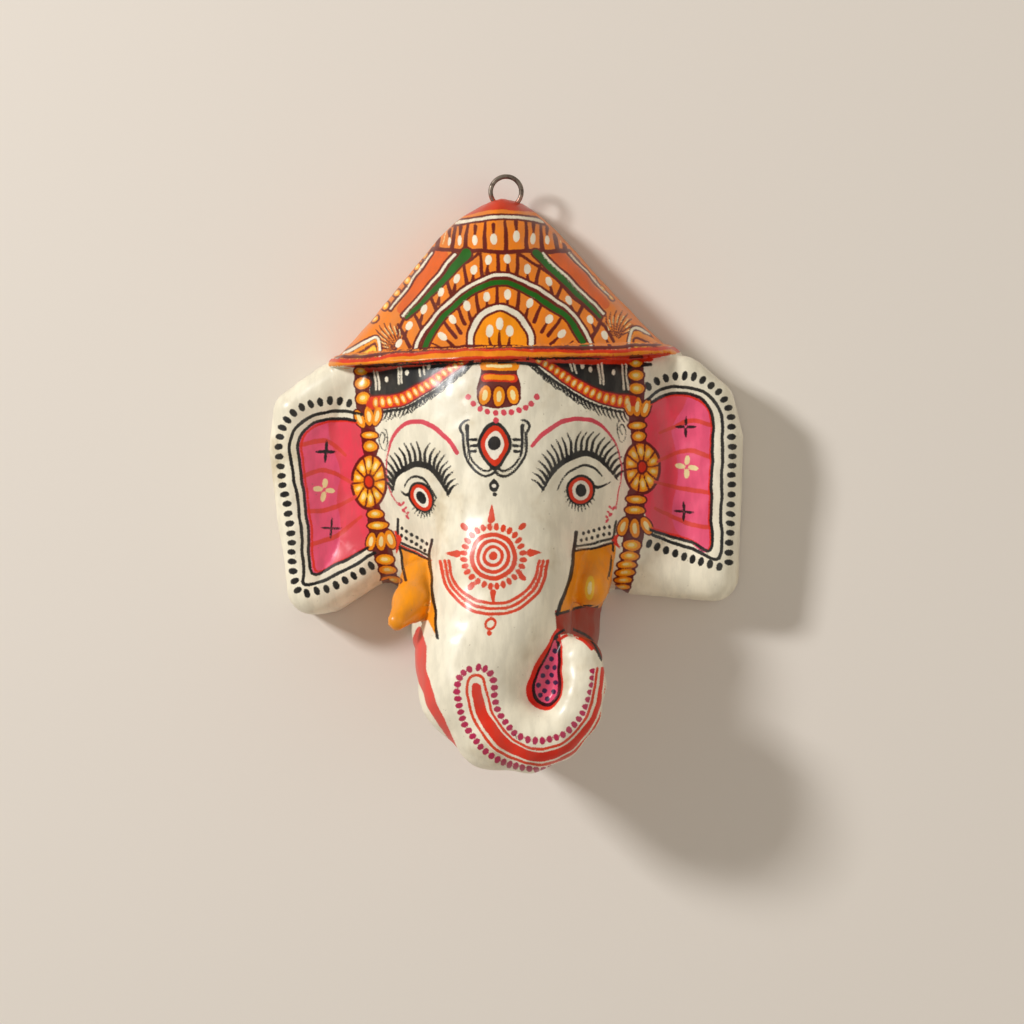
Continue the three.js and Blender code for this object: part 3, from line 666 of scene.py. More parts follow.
def paint_eyes():
    """The forehead mark, brow arcs, brows, lids and eyes."""
    mark = [(495, 423), (504, 428.5), (511.5, 443), (505, 458), (494.5, 468.5), (484, 457.5),
        (478, 443), (485, 429)]
    for layer, tint, share in ((1, "black", 1.06), (2, "scarlet", 0.86), (3, "cream", 0.6)):
        tall = share + 0.03
        area(layer, tint, [(495 + (x - 495) * share, 445 + (y - 445) * tall) for x, y in mark])
    dab(4, "black", 494.5, 443.5, 6.8, 7)
    for way in (-1, 1):
        outer = [(25, 420.5), (30, 420.8), (34.5, 425.5), (34, 430), (31.5, 435), (31.5, 447),
            (28, 459.5), (20, 471), (11, 476.2), (4, 474.5), (0, 471)]
        inner = [(27.6, 426), (27.4, 434), (27.2, 446), (23.5, 459), (16.5, 467.6), (8, 471),
            (0, 466)]
        line(1, "black", [(495 + way * x, y) for x, y in outer],
            (1.4, 3, 3, 2.6, 2.8, 2.8, 2.8, 2.8, 2.8))
        line(1, "black", [(495 + way * x, y) for x, y in inner], (4.6, 3.2, 2.6, 2.4, 2.4, 2.2))
        for y in (439.2, 445.3, 451):
            line(1, "black", [(495 + way * 25, y), (495 + way * 19.5, y)], (2.4, 3.6), False)
    drop(1, "black", 494.3, 484.2, 13, 10.4, -math.pi / 2)
    dab(2, "cream", 494.3, 485.8, 2.3, 2)
    dab(1, "black", 495, 494.5, 2.3)
    line(1, "brow_red", [(457, 453), (448, 439.5), (430.4, 425.4), (416.4, 421), (404, 425),
        (393.6, 436), (388.3, 450), (386.6, 464), (389.2, 488.6), (398.9, 505)],
        (4.4, 4.6, 4.8, 4.4, 3, 1.6, 1.5, 1.5))
    line(1, "brow_red", [(532, 446), (543, 434), (560, 423), (580, 418.5), (598, 423), (611, 436),
        (618.5, 452), (621, 472), (616, 509)], (3.6, 4.6, 4.6, 4.4, 3, 1.6, 1.5, 1.5))
    for x, y, way in ((383.5, 437, 1), (622, 429, -1)):
        line(1, "black", [(x, y + 6), (x + way * 2, y - 1), (x - way, y - 5),
            (x - way * 3.5, y + 2), (x - way * 2.5, y + 11), (x + way, y + 14)],
            (1.2, 1.4, 1.3, 1.2, 0.7))
        line(1, "black", [(x + way, y + 14), (x + way * 4, y + 6), (x + way * 3.5, y - 6),
            (x + way * 0.5, y - 9)], (0.8, 1.2, 1.2, 0.7))
    for x, y, way in ((399, 507, 1), (615, 511, -1)):
        for k in range(3):
            dab(1, "brow_red", x + way * (1 + 3.4 * k), y + 6.5 * k - 3, 2.6, 1.4, 0.9 * way)
            dab(1, "brow_red", x + way * (4.4 + 2 * k), y + 5 * k - 4, 2.2, 1.2, -0.8 * way)
    for brow, count, focus, size in (
        ([(392, 492), (396, 477), (406, 468), (418, 464), (431, 469), (441, 481), (448, 497)], 19,
        (424, 530), 19),
        ([(542, 492), (551, 475), (563, 462), (578, 454.5), (592, 455), (605, 464), (617, 480)], 21,
        (575, 524), 20),
    ):
        line(1, "black", brow, (1, 3.6, 5.4, 6.4, 6, 4.4, 1))
        for k, (x, y, turn) in enumerate(along(brow, count, 0.03, 0.97)):
            out = math.atan2(y - focus[1], x - focus[0])
            bend = 0.2 if x > focus[0] else -0.16
            long = size * (0.78 + 0.42 * math.sin(math.pi * k / (count - 1)))
            long += 1.2 * math.sin(k * 2.1)
            points = [(x, y), (x + long * 0.55 * math.cos(out), y + long * 0.55 * math.sin(out)),
                (x + long * math.cos(out + bend), y + long * math.sin(out + bend))]
            line(1, "black", points, (3.4, 2.7, 1.2))
    for lid in ([(404.5, 487), (409, 479), (417, 476), (426, 481), (436, 498)],
            [(558, 490), (567, 474), (582, 465.5), (594, 468), (601.5, 476)]):
        line(1, "black", lid, (1.4, 2.6, 2.6, 1.6))
    for x, y, rx, ry, turn, start in ((421.5, 497.5, 9.4, 14, -0.36, 0.1),
            (580.8, 490.5, 11.4, 13.6, 0.22, 0.35)):
        dab(1, "black", x, y - 0.5, rx + 2.5, ry + 2.3, turn)
        dab(2, "scarlet", x, y, rx + 0.2, ry + 0.2, turn)
        dab(3, "cream", x, y, rx - 3.3, ry - 3.3, turn)
        dab(4, "black", x, y, rx * 0.45, ry * 0.5, turn)
        for k in range(12):
            way = start + k * 0.235
            cx, sy = math.cos(way), math.sin(way)
            ex = rx * cx * math.cos(turn) - ry * sy * math.sin(turn)
            ey = rx * cx * math.sin(turn) + ry * sy * math.cos(turn)
            root = (x + ex * 1.05, y + ey * 1.05)
            line(1, "black", [root, (root[0] + cx * 4.5, root[1] + sy * 7.5)], (2.2, 0.8), False)
    for tip, mid, end in (((413, 493), (407, 495), (401, 491)),
            ((591, 485), (598, 487), (610, 482))):
        line(1, "black", [tip, mid, end], (4.6, 3, 0.8))


def paint_ears():
    """The ear panels with their black frames, stripes, flowers and rows of ovals."""
    left_inner = [(356, 421), (340, 418.6), (326, 419.5), (311, 425), (300.5, 436), (298, 452),
        (301.5, 476), (305.5, 508), (308.5, 534), (312, 573), (338, 564), (368, 548)]
    left_outer = [(362, 414.5), (345, 411.6), (330, 411.4), (313, 416), (297, 426), (291, 438),
        (289.7, 453.5), (293, 473), (297.5, 499), (301.5, 534), (303.5, 569), (305.5, 585),
        (334, 576), (375, 553)]
    right_inner = [(652, 402), (666, 395), (684, 393), (700, 398), (711, 411), (713, 432),
        (712, 470), (711, 510), (710.5, 550), (690, 542), (650, 530)]
    right_outer = [(648, 399), (660, 390), (677, 386.5), (697, 389.5), (711, 398), (720, 411),
        (722.5, 430), (722, 470), (721, 515), (719.5, 558), (692, 549), (652, 535)]
    area(0, "ear_red", left_inner + [(378, 500), (372, 430)], False)
    area(0, "ear_red", right_inner + [(636, 480), (638, 420)], False)
    area(1, "rose", [(327, 421), (311, 426), (301, 437), (299, 452), (302, 476), (306, 508),
        (309, 534), (313, 572), (331, 566), (341, 535), (337, 500), (340, 470), (330, 440)])
    area(1, "rose", [(690, 394), (701, 399), (710, 412), (712, 432), (711, 470), (710, 549),
        (688, 541), (672, 520), (678, 470), (672, 430), (682, 410)])
    for a, b, c in (((300, 445), (325, 441), (346, 455)), ((303, 477), (326, 470), (353, 484)),
            ((307, 511), (331, 509), (356, 496)), ((311, 545), (338, 535), (362, 516)),
            ((711, 425), (690, 421), (660, 433)), ((711, 458), (688, 450), (656, 462)),
            ((711, 493), (690, 490), (655, 482)), ((710, 527), (686, 523), (655, 508))):
        line(2, "stripe_red", [a, b, c], (4.4, 4.8, 3))
    for panel in (left_inner, right_inner):
        inset = []
        for k, (x, y) in enumerate(panel):
            across = (5 if x < 500 else -2.5) * (0.5 if k < 3 or k > 9 else 0.7)
            inset.append((x + across, y + (2 if k < 4 else -2.6 if k > 8 else 0)))
        line(3, "red", inset, 2.4)
        line(4, "black", panel, 3.2)
    line(4, "black", left_outer, 3.4)
    line(4, "black", right_outer, 3.4)
    left_row = [(349, 403.5), (337, 401), (327, 401), (308, 405), (291, 415), (281, 431),
        (278.7, 450), (281, 475), (286, 500), (290.5, 528), (292, 557), (293, 575), (298, 590)]
    right_row = [(648, 386), (663, 379), (680, 375.5), (698, 378), (714, 388), (726, 402),
        (731, 420), (732, 450), (731.5, 490), (730, 530), (728.5, 562)]
    for row, count in ((left_row, 26), (right_row, 27), ([(307, 593.5), (335, 585.5), (371, 566)],
            8), ([(649, 544), (683, 556), (719, 567)], 9)):
        oval_row(row, count, "black", 4.6, 3.1)
    for x, y, size, width, gap in ((325.7, 451.8, 10.5, 3.4, 0), (331.5, 528, 10.5, 2.4, 0.12),
            (686, 427, 10, 3.2, 0.22), (683.6, 511.6, 10, 3, 0.14)):
        for k in range(4):
            turn = k * math.pi / 2 + 0.05
            dx, dy = math.cos(turn) * size, math.sin(turn) * size
            line(5, "black", [(x + dx * gap, y + dy * gap), (x + dx * 0.6, y + dy * 0.6),
                (x + dx, y + dy)], (width * 0.8, width, width * 0.4), False)
    for x, y in ((324, 490), (687, 467)):
        for k in range(4):
            turn = k * math.pi / 2 + 0.1
            dab(5, "petal_cream", x + 6.4 * math.cos(turn), y + 7 * math.sin(turn), 5, 2.7, turn)


def paint_straps():
    """The strings of beads, petals and rosettes down both cheeks."""
    for path, width in (
        ([(362, 370), (363, 398), (368, 428), (370, 450)], 15),
        ([(374, 508), (378, 528), (381, 545), (386, 565), (391, 583)], (13, 19, 21, 17, 16)),
        ([(636, 360), (637, 392), (637, 425), (640, 445)], 15),
        ([(636, 494), (635, 515), (634, 530), (630, 556), (622, 589)], (16, 19, 21, 17, 15)),
    ):
        line(1, "dark_red", path, width)
    for x, y, rx, ry in (
        (361.5, 371.5, 7, 4.5), (362.4, 383.5, 8, 6.4), (363.2, 398, 8, 6.6), (370, 435.4, 9, 4.2),
        (370.3, 446.5, 7.6, 6),
        (376, 514.2, 8.4, 4.8), (378, 525.4, 10.4, 4.4), (384.8, 559.6, 9.4, 6),
        (387.5, 570.4, 9.4, 5), (391.5, 580.4, 10.4, 4.2),
        (636, 363, 7.4, 4.4), (636.5, 375, 8, 5.8), (636.5, 388.5, 8, 6.2), (637, 425.5, 9, 4.2),
        (638.5, 436, 7.6, 5.4),
        (636, 499.4, 10, 4.8), (635, 510.4, 10.4, 4.8), (631.8, 545, 9.4, 6), (629.8, 556, 10, 5),
        (627.3, 564.8, 10, 4.2),
        (625.3, 572.6, 9.8, 4), (623.2, 579.8, 9.2, 3.6), (621.6, 586.6, 8.6, 3.2),
    ):
        bead(x, y, rx, ry)
    for x, y, turn in ((360, 419, 1.2), (369, 416, 1.5), (377, 416, 1.8), (629, 406, 1.25),
            (637.5, 407, 1.57), (646, 408, 1.9)):
        petal(x, y, 10, 4.6, turn)
    for x, y, turn in ((371, 541.5, 1.7), (381.5, 541, 1.55), (390.5, 539.5, 1.2),
            (623.6, 526.5, 1.9), (635, 528.5, 1.57), (646.4, 526, 1.2)):
        petal(x, y, 9.6, 5.2, turn)
    wheel(369, 481.6, 17, 27, 10)
    wheel(642, 467.5, 18, 25.5, 10)
    line(2, "red", [(394.5, 531), (399, 540), (396, 553)], (1, 6, 1))
    line(2, "red", [(620, 534), (615, 541), (620, 549)], (1, 5.5, 1))


def paint_tusks():
    """The tusks and the dotted bands at their roots, with the open mouth and a painted highlight on
    the right tusk's bump.
    """
    area(0, "gold", [(398, 545), (431, 559), (432, 577), (435, 607), (437, 637), (428, 620),
        (410, 624), (384, 644), (374, 622), (396, 596), (403, 575)], False)
    area(0, "wine", [(555, 610), (610, 600), (606, 625), (604, 660), (592, 648), (578, 637),
        (569, 633), (557, 636)], False)
    area(1, "gold", [(573, 551), (616, 543), (612, 579), (607, 600), (600, 607.5), (584, 606),
        (569, 611), (557, 614), (567, 588)], False)
    # Painted highlight: a soft yellow spot with a pale middle, where light catches the right tusk's
    # bump.
    dab(2, "yellow", 590, 588, 4.6, 12, 0.1)
    dab(3, "glow", 590, 588, 2, 6.5, 0.1)
    line(1, "scarlet", [(401, 546), (417, 553), (431, 560)], 2)
    for row, count in (([(402, 528.5), (426, 543.5)], 6), ([(401.6, 536), (425, 550)], 6),
            ([(583, 533), (610, 527)], 6), ([(581, 540), (610, 534)], 6)):
        for x, y, _ in along(row, count):
            dab(1, "black", x, y, 2.1, 1.7, 1.2)
    for points, width in (
        ([(398, 542), (413, 548.5), (430, 555.4)], 2.4),
        ([(398.5, 546.5), (413, 553), (430, 559.6)], 2.4),
        ([(397, 519), (399, 543), (406, 580)], 2.8),
        ([(431.5, 540), (429.6, 559), (433.6, 600), (437.5, 638)], 3),
        ([(574, 547), (595, 543), (615, 538.5)], 2.4),
        ([(574, 551.5), (595, 547.5), (614, 543)], 2.4),
        ([(575.5, 532), (573, 559), (567.5, 586), (557.5, 614)], 3.8),
        ([(616.6, 521), (612, 554), (608.6, 579)], 2.4),
    ):
        line(2, "black", points, width)
    line(4, "black", [(556, 637), (562, 631), (569, 628.5), (580, 632), (592, 641), (602, 660)],
        2.8)
    line(4, "black", [(556, 614), (570, 610.5), (585, 606), (602, 606.5)], 2.6)
    line(3, "red", [(559, 640), (570, 634.5), (582, 640), (592, 649)], 3)


def paint_sun():
    """The sun on the trunk, with its flames, arcs and the small ring below."""
    x, y = 493.4, 556.3
    dab(1, "sun_red", x, y, 24)
    dab(2, "cream", x, y, 19.4)
    dab(3, "sun_red", x, y, 17.4)
    dab(4, "cream", x, y, 13.6)
    dab(5, "sun_red", x, y, 9.2, hollow_width=3.6)
    dab(5, "sun_red", x, y, 4.4)
    for k in range(28):
        turn = 2 * math.pi * (k + 0.5) / 28
        dab(1, "sun_red", x + 29.8 * math.cos(turn), y + 29.8 * math.sin(turn), 3.9, 2.6, turn)
    line(1, "sun_red", [(491.5, 505), (491.5, 512), (491.5, 519)], (0.8, 5, 8))
    line(1, "sun_red", [(493.4, 592), (493.4, 604)], (6.5, 1.6), False)
    line(1, "sun_red", [(457, 554), (446, 554)], (8, 0.8), False)
    line(1, "sun_red", [(530.5, 553), (541, 553)], (8, 0.8), False)
    for a, b, turn in ((464, 527, 0.8), (522, 526.5, -0.8), (471, 586.5, -0.9), (522.6, 577, 0.6)):
        dab(1, "sun_red", a, b, 4.8, 3, turn)
    for half, bottom, width in ((53.5, 614.5, 3.3), (49, 609, 3.1), (45, 603.6, 3.1)):
        points = []
        for k in range(9):
            turn = math.pi * (1 - k / 8)
            points.append((494 + half * math.cos(turn), 561 + (bottom - 561) * math.sin(turn)))
        line(1, "sun_red", points, width)
    dab(1, "sun_red", 490.3, 623.8, 5, hollow_width=2.7)
    dab(1, "sun_red", 489.6, 632.8, 2.7)


def paint_trunk_end():
    """The red teardrop inside the curl and the banded line that follows the trunk's tip."""
    tear = [(559, 628), (549, 643), (537, 661), (527, 685), (528.5, 700), (537, 708), (549, 709.5),
        (559, 702), (563, 686), (562.5, 655)]
    area(1, "red", tear)
    area(2, "black", [(548.5 + (x - 547) * 0.8, 677.5 + (y - 677) * 0.88) for x, y in tear])
    area(3, "rose", [(548.2 + (x - 547) * 0.63, 678 + (y - 677) * 0.76) for x, y in tear])
    for x, y in ((555, 651), (551, 658.5), (547, 667), (555, 667), (543, 676), (552, 675),
            (539, 685), (548, 682.5), (556, 682.5), (544.5, 691), (553.5, 692), (540, 695),
            (547, 699)):
        dab(4, "violet", x, y, 2.6)
    outer = [(467.5, 687), (468.5, 702), (476, 723), (490, 743), (510, 757.5), (534, 764),
        (556, 762), (576, 750), (592, 732), (602, 711), (607, 688), (607, 668)]
    inner = [(485, 687), (488, 697), (493.5, 715), (504, 730.5), (519, 743), (537, 749),
        (556, 746.5), (572, 736), (586, 717), (594, 694), (597, 668)]
    loop = inner[::-1] + [(483.5, 678), (477, 674.5), (470, 678)] + outer
    line(1, "red", [(476.5, 687), (477.5, 698), (483, 715), (493, 731), (506, 744.5), (521, 752.5),
        (537, 756.6), (556, 754.5), (574, 743.5), (589, 725), (598, 705), (602, 684), (602, 668)],
        (9, 11, 12, 11, 9.5, 8, 6, 4.5, 3.5))
    line(2, "cream", inner, 4.6)
    line(2, "cream", outer[:8], 4.6)
    line(3, "sun_red", loop, 2.9)
    inner_row = [(478, 667), (488, 670.5), (493.5, 680), (494.5, 696), (500.5, 715), (515, 733),
        (536, 741), (556, 737.5), (572, 727.5), (584, 710.5), (591.5, 691), (593, 671)]
    outer_row = [(469, 669), (461, 675), (457.5, 686), (458.5, 702), (463.5, 721), (475, 740),
        (489, 753.5), (506, 763), (524, 768), (545, 769), (567, 764.5), (586, 751)]
    for row, count in ((inner_row, 29), (outer_row, 31)):
        oval_row(row, count, "plum", 3.9, 2.9)
    line(1, "stripe_red", [(419, 630), (419, 648), (422, 675), (433, 706), (446, 730), (456, 749)],
        (6, 15, 11, 10, 6, 1))


def paint_all():
    """Draws every shape of the painting anew."""
    shapes.clear()
    paint_crown()
    paint_brow_band()
    paint_eyes()
    paint_ears()
    paint_straps()
    paint_tusks()
    paint_sun()
    paint_trunk_end()


def view_of(p):
    """Where points of the face are seen, in view units."""
    q = p - VIEW_AT
    turn_c, turn_s = math.cos(VIEW_TURN), math.sin(VIEW_TURN)
    away = VIEW_AWAY - (q[:, 0] * turn_s + q[:, 2] * turn_c)
    scale = 2 * VIEW_AWAY / away
    return np.stack([VIEW_MIDDLE + scale * (q[:, 0] * turn_c - q[:, 2] * turn_s),
        VIEW_MIDDLE - scale * q[:, 1]], axis=1)


def wobble(q):
    """The unsteady hand: paint strays a little from its lines."""
    u, v = q.T
    du = 0.4 * np.sin(u * 0.09 + v * 0.17) + 0.16 * np.sin(v * 0.37 - u * 0.05 + 1.3)
    dv = 0.4 * np.sin(v * 0.11 - u * 0.15 + 2.1) + 0.16 * np.sin(u * 0.41 + v * 0.07)
    return q + np.stack([du, dv], axis=1)


def near_line(q, path, radii):
    """Distance to a line with a changing width."""
    best = np.full(len(q), 1e9)
    for a, b, ra, rb in zip(path, path[1:], radii, radii[1:]):
        step = b - a
        t = np.clip((q - a) @ step / max(step @ step, 1e-9), 0, 1)
        best = np.minimum(best, np.hypot(*(q - a - t[:, None] * step).T) - ra - (rb - ra) * t)
    return best


def painted_layers(p):
    """For each paint layer, the distance to its nearest shape's edge and that shape's colour."""
    q = wobble(view_of(p))
    order = np.argsort(q[:, 1])
    q_sorted = q[order]
    reach = np.full((LAYERS, len(p)), REACH)
    tint = np.tile(np.array(ink("cream")), (LAYERS, len(p), 1))
    for kind, layer, name, path, extra in shapes:
        grow = REACH
        if kind == "oval":
            grow += max(extra[:2])
        elif kind == "line":
            grow += np.max(extra)
        (u0, v0), (u1, v1) = path.min(axis=0) - grow, path.max(axis=0) + grow
        a, b = np.searchsorted(q_sorted[:, 1], (v0, v1))
        part = order[a:b]
        part = part[(q[part, 0] > u0) & (q[part, 0] < u1)]
        if not len(part):
            continue
        near = q[part]
        if kind == "line":
            gap = near_line(near, path, extra)
        elif kind == "area":
            gap = outline(near[:, 0], near[:, 1], tuple(map(tuple, path)))
        else:
            rx, ry, turn, ring_width = extra
            du, dv = (near - path[0]).T
            x = du * math.cos(turn) + dv * math.sin(turn)
            y = dv * math.cos(turn) - du * math.sin(turn)
            k = np.hypot(x / rx, y / ry)
            gap = k * (k - 1) / np.maximum(np.hypot(x / rx**2, y / ry**2), 1e-6)
            if ring_width:
                gap = np.abs(gap) - ring_width / 2
        better = gap < reach[layer, part]
        reach[layer, part[better]] = gap[better]
        tint[layer, part[better]] = ink(name)
    tusk = (limb(p, LEFT_TUSK[1:], 3) - TUSK_PAINT) * 2
    better = tusk < reach[0]
    reach[0, better] = tusk[better]
    tint[0, better] = ink("gold")
    slope = slope_of(outside, p)[1]
    steep = 1 - smooth_step(*STEEP, slope[:, 2] / np.maximum(np.linalg.norm(slope, axis=1), 1e-6))
    reach[2:] += (REACH - reach[2:]) * steep
    reach[1] += (REACH - reach[1]) * steep * smooth_step(*EAR_SIDE, np.abs(p[:, 0]))
    return reach, tint


def refine(points, triangles, marked):
    """Splits the marked edges, and with them the triangles, so that no crack opens."""
    edges = np.sort(np.concatenate([triangles[:, (0, 1)], triangles[:, (1, 2)],
        triangles[:, (2, 0)]]), axis=1)
    unique, back = np.unique(edges, axis=0, return_inverse=True)
    split = marked(unique)
    number = np.full(len(unique), -1)
    number[split] = len(points) + np.arange(split.sum())
    middle = (points[unique[split, 0]] + points[unique[split, 1]]) / 2
    n = len(triangles)
    m = number[back.reshape(-1)].reshape(3, n).T
    count = (m >= 0).sum(axis=1)
    found = [triangles[count == 0]]
    for k in range(3):
        t, e = np.roll(triangles, -k, axis=1), np.roll(m, -k, axis=1)
        one = (count == 1) & (e[:, 0] >= 0)
        a, b, c, ab = t[one, 0], t[one, 1], t[one, 2], e[one, 0]
        found += [np.stack([a, ab, c], 1), np.stack([ab, b, c], 1)]
        two = (count == 2) & (e[:, 2] < 0)
        a, b, c, ab, bc = t[two, 0], t[two, 1], t[two, 2], e[two, 0], e[two, 1]
        found += [np.stack([ab, b, bc], 1), np.stack([a, ab, bc], 1), np.stack([a, bc, c], 1)]
    a, b, c = triangles[count == 3].T
    ab, bc, ca = m[count == 3].T
    found += [np.stack([a, ab, ca], 1), np.stack([ab, b, bc], 1), np.stack([ca, bc, c], 1),
        np.stack([ab, bc, ca], 1)]
    return middle, np.concatenate(found)


def on_outside(p):
    """Which points are on the painted outside, and not on the hollow's wall or the flat rim."""
    return (np.abs(outside(p)) < WALL * PAINTED_WITHIN) & (p[:, 2] > PAINTED_ABOVE)


def unevenness(p):
    """The hand-laid paper's slow waves, in millimetres."""
    x, y, z = p.T
    wave = 0.26 * np.sin(x * 0.13 + 0.7) * np.sin(y * 0.11 + z * 0.05 + 1.9)
    wave += 0.2 * np.sin(x * 0.29 + y * 0.07 + 2.2) * np.sin(y * 0.23 - z * 0.17)
    return wave + 0.1 * np.sin(x * 0.53 - y * 0.31) * np.sin(z * 0.47 + y * 0.43 + 0.4)


def sheet(wall, cell):
    """Corners and triangles of one wall of the shell, open at the back rim's plane."""

    def closed(r):
        return np.maximum(wall(r), -r[:, 2])

    low, high = np.array([*NET_LOW, -UNDER_RIM * cell]), np.array(NET_HIGH)
    p, quads = surface_net(closed, low, high, cell)
    flat = np.abs(p[:, 2]) < cell * RIM_SNAP
    p = settle(closed, p, 3)
    p[flat & (p[:, 2] < cell * RIM_SNAP_AFTER), 2] = 0
    p[:, 2] = np.maximum(p[:, 2], 0)
    a, b, c, d = quads.T
    short = np.linalg.norm(p[a] - p[c], axis=1) < np.linalg.norm(p[b] - p[d], axis=1)
    first = np.where(short[:, None], np.stack([a, b, c], 1), np.stack([a, b, d], 1))
    second = np.where(short[:, None], np.stack([a, c, d], 1), np.stack([b, c, d], 1))
    triangles = np.concatenate([first, second])
    triangles = triangles[p[triangles][:, :, 2].max(axis=1) > 0.01]
    used, number = np.unique(triangles, return_inverse=True)
    return p[used], number.reshape(-1, 3)


def edges_to_split(edges, p, reach, outer, finest_seen, room):
    """Which painted edges are seen long and near a shape's edge, the longest first."""
    near = np.abs(reach[:, edges]).min(axis=(0, 2))
    seen = np.linalg.norm(view_of(p[edges[:, 0]]) - view_of(p[edges[:, 1]]), axis=1)
    wanted = (seen > finest_seen) & (near < LINE_SHARE * seen + LINE_SPARE)
    wanted &= outer[edges].any(axis=1)
    if wanted.sum() > room:
        chosen = np.argsort(np.where(wanted, -seen, 0))[:room]
        wanted = np.zeros(len(edges), bool)
        wanted[chosen] = True
    return wanted


def shaped_mask(finest, most_triangles):
    """The mask's corners, triangles, paint distances, paint colours and painted share."""
    p, triangles = sheet(outside, CELL)
    inner, turned = sheet(hollow, HOLLOW_CELL)
    triangles = np.concatenate([triangles, turned[:, ::-1] + len(p)])
    p = np.concatenate([p, inner])
    reach, tint = painted_layers(p)
    outer = on_outside(p)
    for finest_seen in (*SEEN_STEPS, finest):
        room = max((most_triangles - len(triangles)) // 2, 0)

        def marked(edges):
            return edges_to_split(edges, p, reach, outer, finest_seen, room)

        middle, triangles = refine(p, triangles, marked)
        new_outer = on_outside(middle)
        middle[new_outer] = settle(outside, middle[new_outer], 2, 0.5)
        new_reach, new_tint = painted_layers(middle)
        p = np.concatenate([p, middle])
        outer = np.concatenate([outer, new_outer])
        reach = np.concatenate([reach, new_reach], axis=1)
        tint = np.concatenate([tint, new_tint], axis=1)
    return p, triangles, reach, tint, outer


def close_rim(mesh):
    """Fills the flat rim between the outside's edge and the hollow's."""
    sheets = bmesh.new()
    sheets.from_mesh(mesh)
    rim = [e for e in sheets.edges if e.is_boundary]
    filled = bmesh.ops.triangle_fill(sheets, edges=rim, use_beauty=True, use_dissolve=False,
        normal=(0, 0, -1))
    for face in filled["geom"]:
        if isinstance(face, bmesh.types.BMFace):
            face.normal_update()
            if face.normal.z > 0:
                face.normal_flip()
    sheets.to_mesh(mesh)
    sheets.free()


def mesh_piece(name, points, faces):
    """A mesh object of these arrays, with its rim closed and all its faces smooth."""
    mesh = bpy.data.meshes.new(name)
    mesh.vertices.add(len(points))
    mesh.vertices.foreach_set("co", np.asarray(points, np.float32).ravel())
    mesh.loops.add(faces.size)
    mesh.loops.foreach_set("vertex_index", faces.astype(np.int32).ravel())
    mesh.polygons.add(len(faces))
    mesh.polygons.foreach_set("loop_start", np.arange(0, faces.size, 3, dtype=np.int32))
    mesh.update(calc_edges=True)
    mesh.validate()
    close_rim(mesh)
    mesh.polygons.foreach_set("use_smooth", np.ones(len(mesh.polygons), bool))
    piece = bpy.data.objects.new(name, mesh)
    bpy.context.scene.collection.objects.link(piece)
    return piece


def store(mesh, name, kind, key, values):
    """Gives each corner of the mesh its value, as an attribute."""
    attribute_data = mesh.attributes.new(name, kind, "POINT").data
    attribute_data.foreach_set(key, values.astype(np.float32).ravel())


def group_tree(name, inputs, outputs):
    """A new shader node group with these named inputs and outputs, and its two end nodes."""
    tree = bpy.data.node_groups.new(name, "ShaderNodeTree")
    kinds = {"value": "NodeSocketFloat", "colour": "NodeSocketColor", "place": "NodeSocketVector"}
    for label, kind in inputs:
        tree.interface.new_socket(name=label, in_out="INPUT", socket_type=kinds[kind])
    for label, kind in outputs:
        tree.interface.new_socket(name=label, in_out="OUTPUT", socket_type=kinds[kind])
    return tree, tree.nodes.new("NodeGroupInput"), tree.nodes.new("NodeGroupOutput")


def math_node(tree, kind, a, b=None):
    """A maths node whose inputs are numbers or other nodes' outputs."""
    node = tree.nodes.new("ShaderNodeMath")
    node.operation = kind
    for socket, value in zip(node.inputs, (a, b)):
        if value is None:
            continue
        if hasattr(value, "links"):
            tree.links.new(value, socket)
        else:
            socket.default_value = value
    return node.outputs[0]


def map_node(tree, value, low, high, to_low=0.0, to_high=1.0):
    """A smooth step from one value to another."""
    node = tree.nodes.new("ShaderNodeMapRange")
    node.interpolation_type = "SMOOTHSTEP"
    for key, number in (("From Min", low), ("From Max", high), ("To Min", to_low),
            ("To Max", to_high)):
        node.inputs[key].default_value = number
    tree.links.new(value, node.inputs["Value"])
    return node.outputs[0]


def mix_node(tree, share, a, b, blend="MIX"):
    """A colour mix. The share and colours are values or other nodes' outputs."""
    node = tree.nodes.new("ShaderNodeMix")
    node.data_type = "RGBA"
    node.blend_type = blend
    for socket, value in ((node.inputs[0], share), (node.inputs[6], a), (node.inputs[7], b)):
        if hasattr(value, "links"):
            tree.links.new(value, socket)
        else:
            socket.default_value = value
    return node.outputs[2]


def noise_node(tree, place, scale, detail=3.0, rough=0.55, stretch=None):
    """A noise value at this scale to the metre."""
    if stretch:
        mapping = tree.nodes.new("ShaderNodeMapping")
        mapping.inputs["Scale"].default_value = stretch
        tree.links.new(place, mapping.inputs["Vector"])
        place = mapping.outputs[0]
    node = tree.nodes.new("ShaderNodeTexNoise")
    node.inputs["Scale"].default_value = scale
    node.inputs["Detail"].default_value = detail
    node.inputs["Roughness"].default_value = rough
    tree.links.new(place, node.inputs["Vector"])
    return node.outputs["Fac"]


# Looks
STAIN = (0.5, 0.36, 0.17, 1)
SPECK = (0.2, 0.13, 0.07, 1)
PAPER_STAIN = (0.36, 0.26, 0.16, 1)
TARNISH = (0.09, 0.06, 0.045, 1)
SMEAR = (0.62, 0.08, 0.02, 1)
SKY = (1.0, 0.9, 0.76, 1)
KEY_TOWARD, KEY_AWAY, KEY_SIZE = (-1.3, 0.74, 1.15), 2.6, 0.42
FILL_TOWARD, FILL_AWAY, FILL_SIZE = (1.1, -0.2, 1.5), 1.9, 1.8


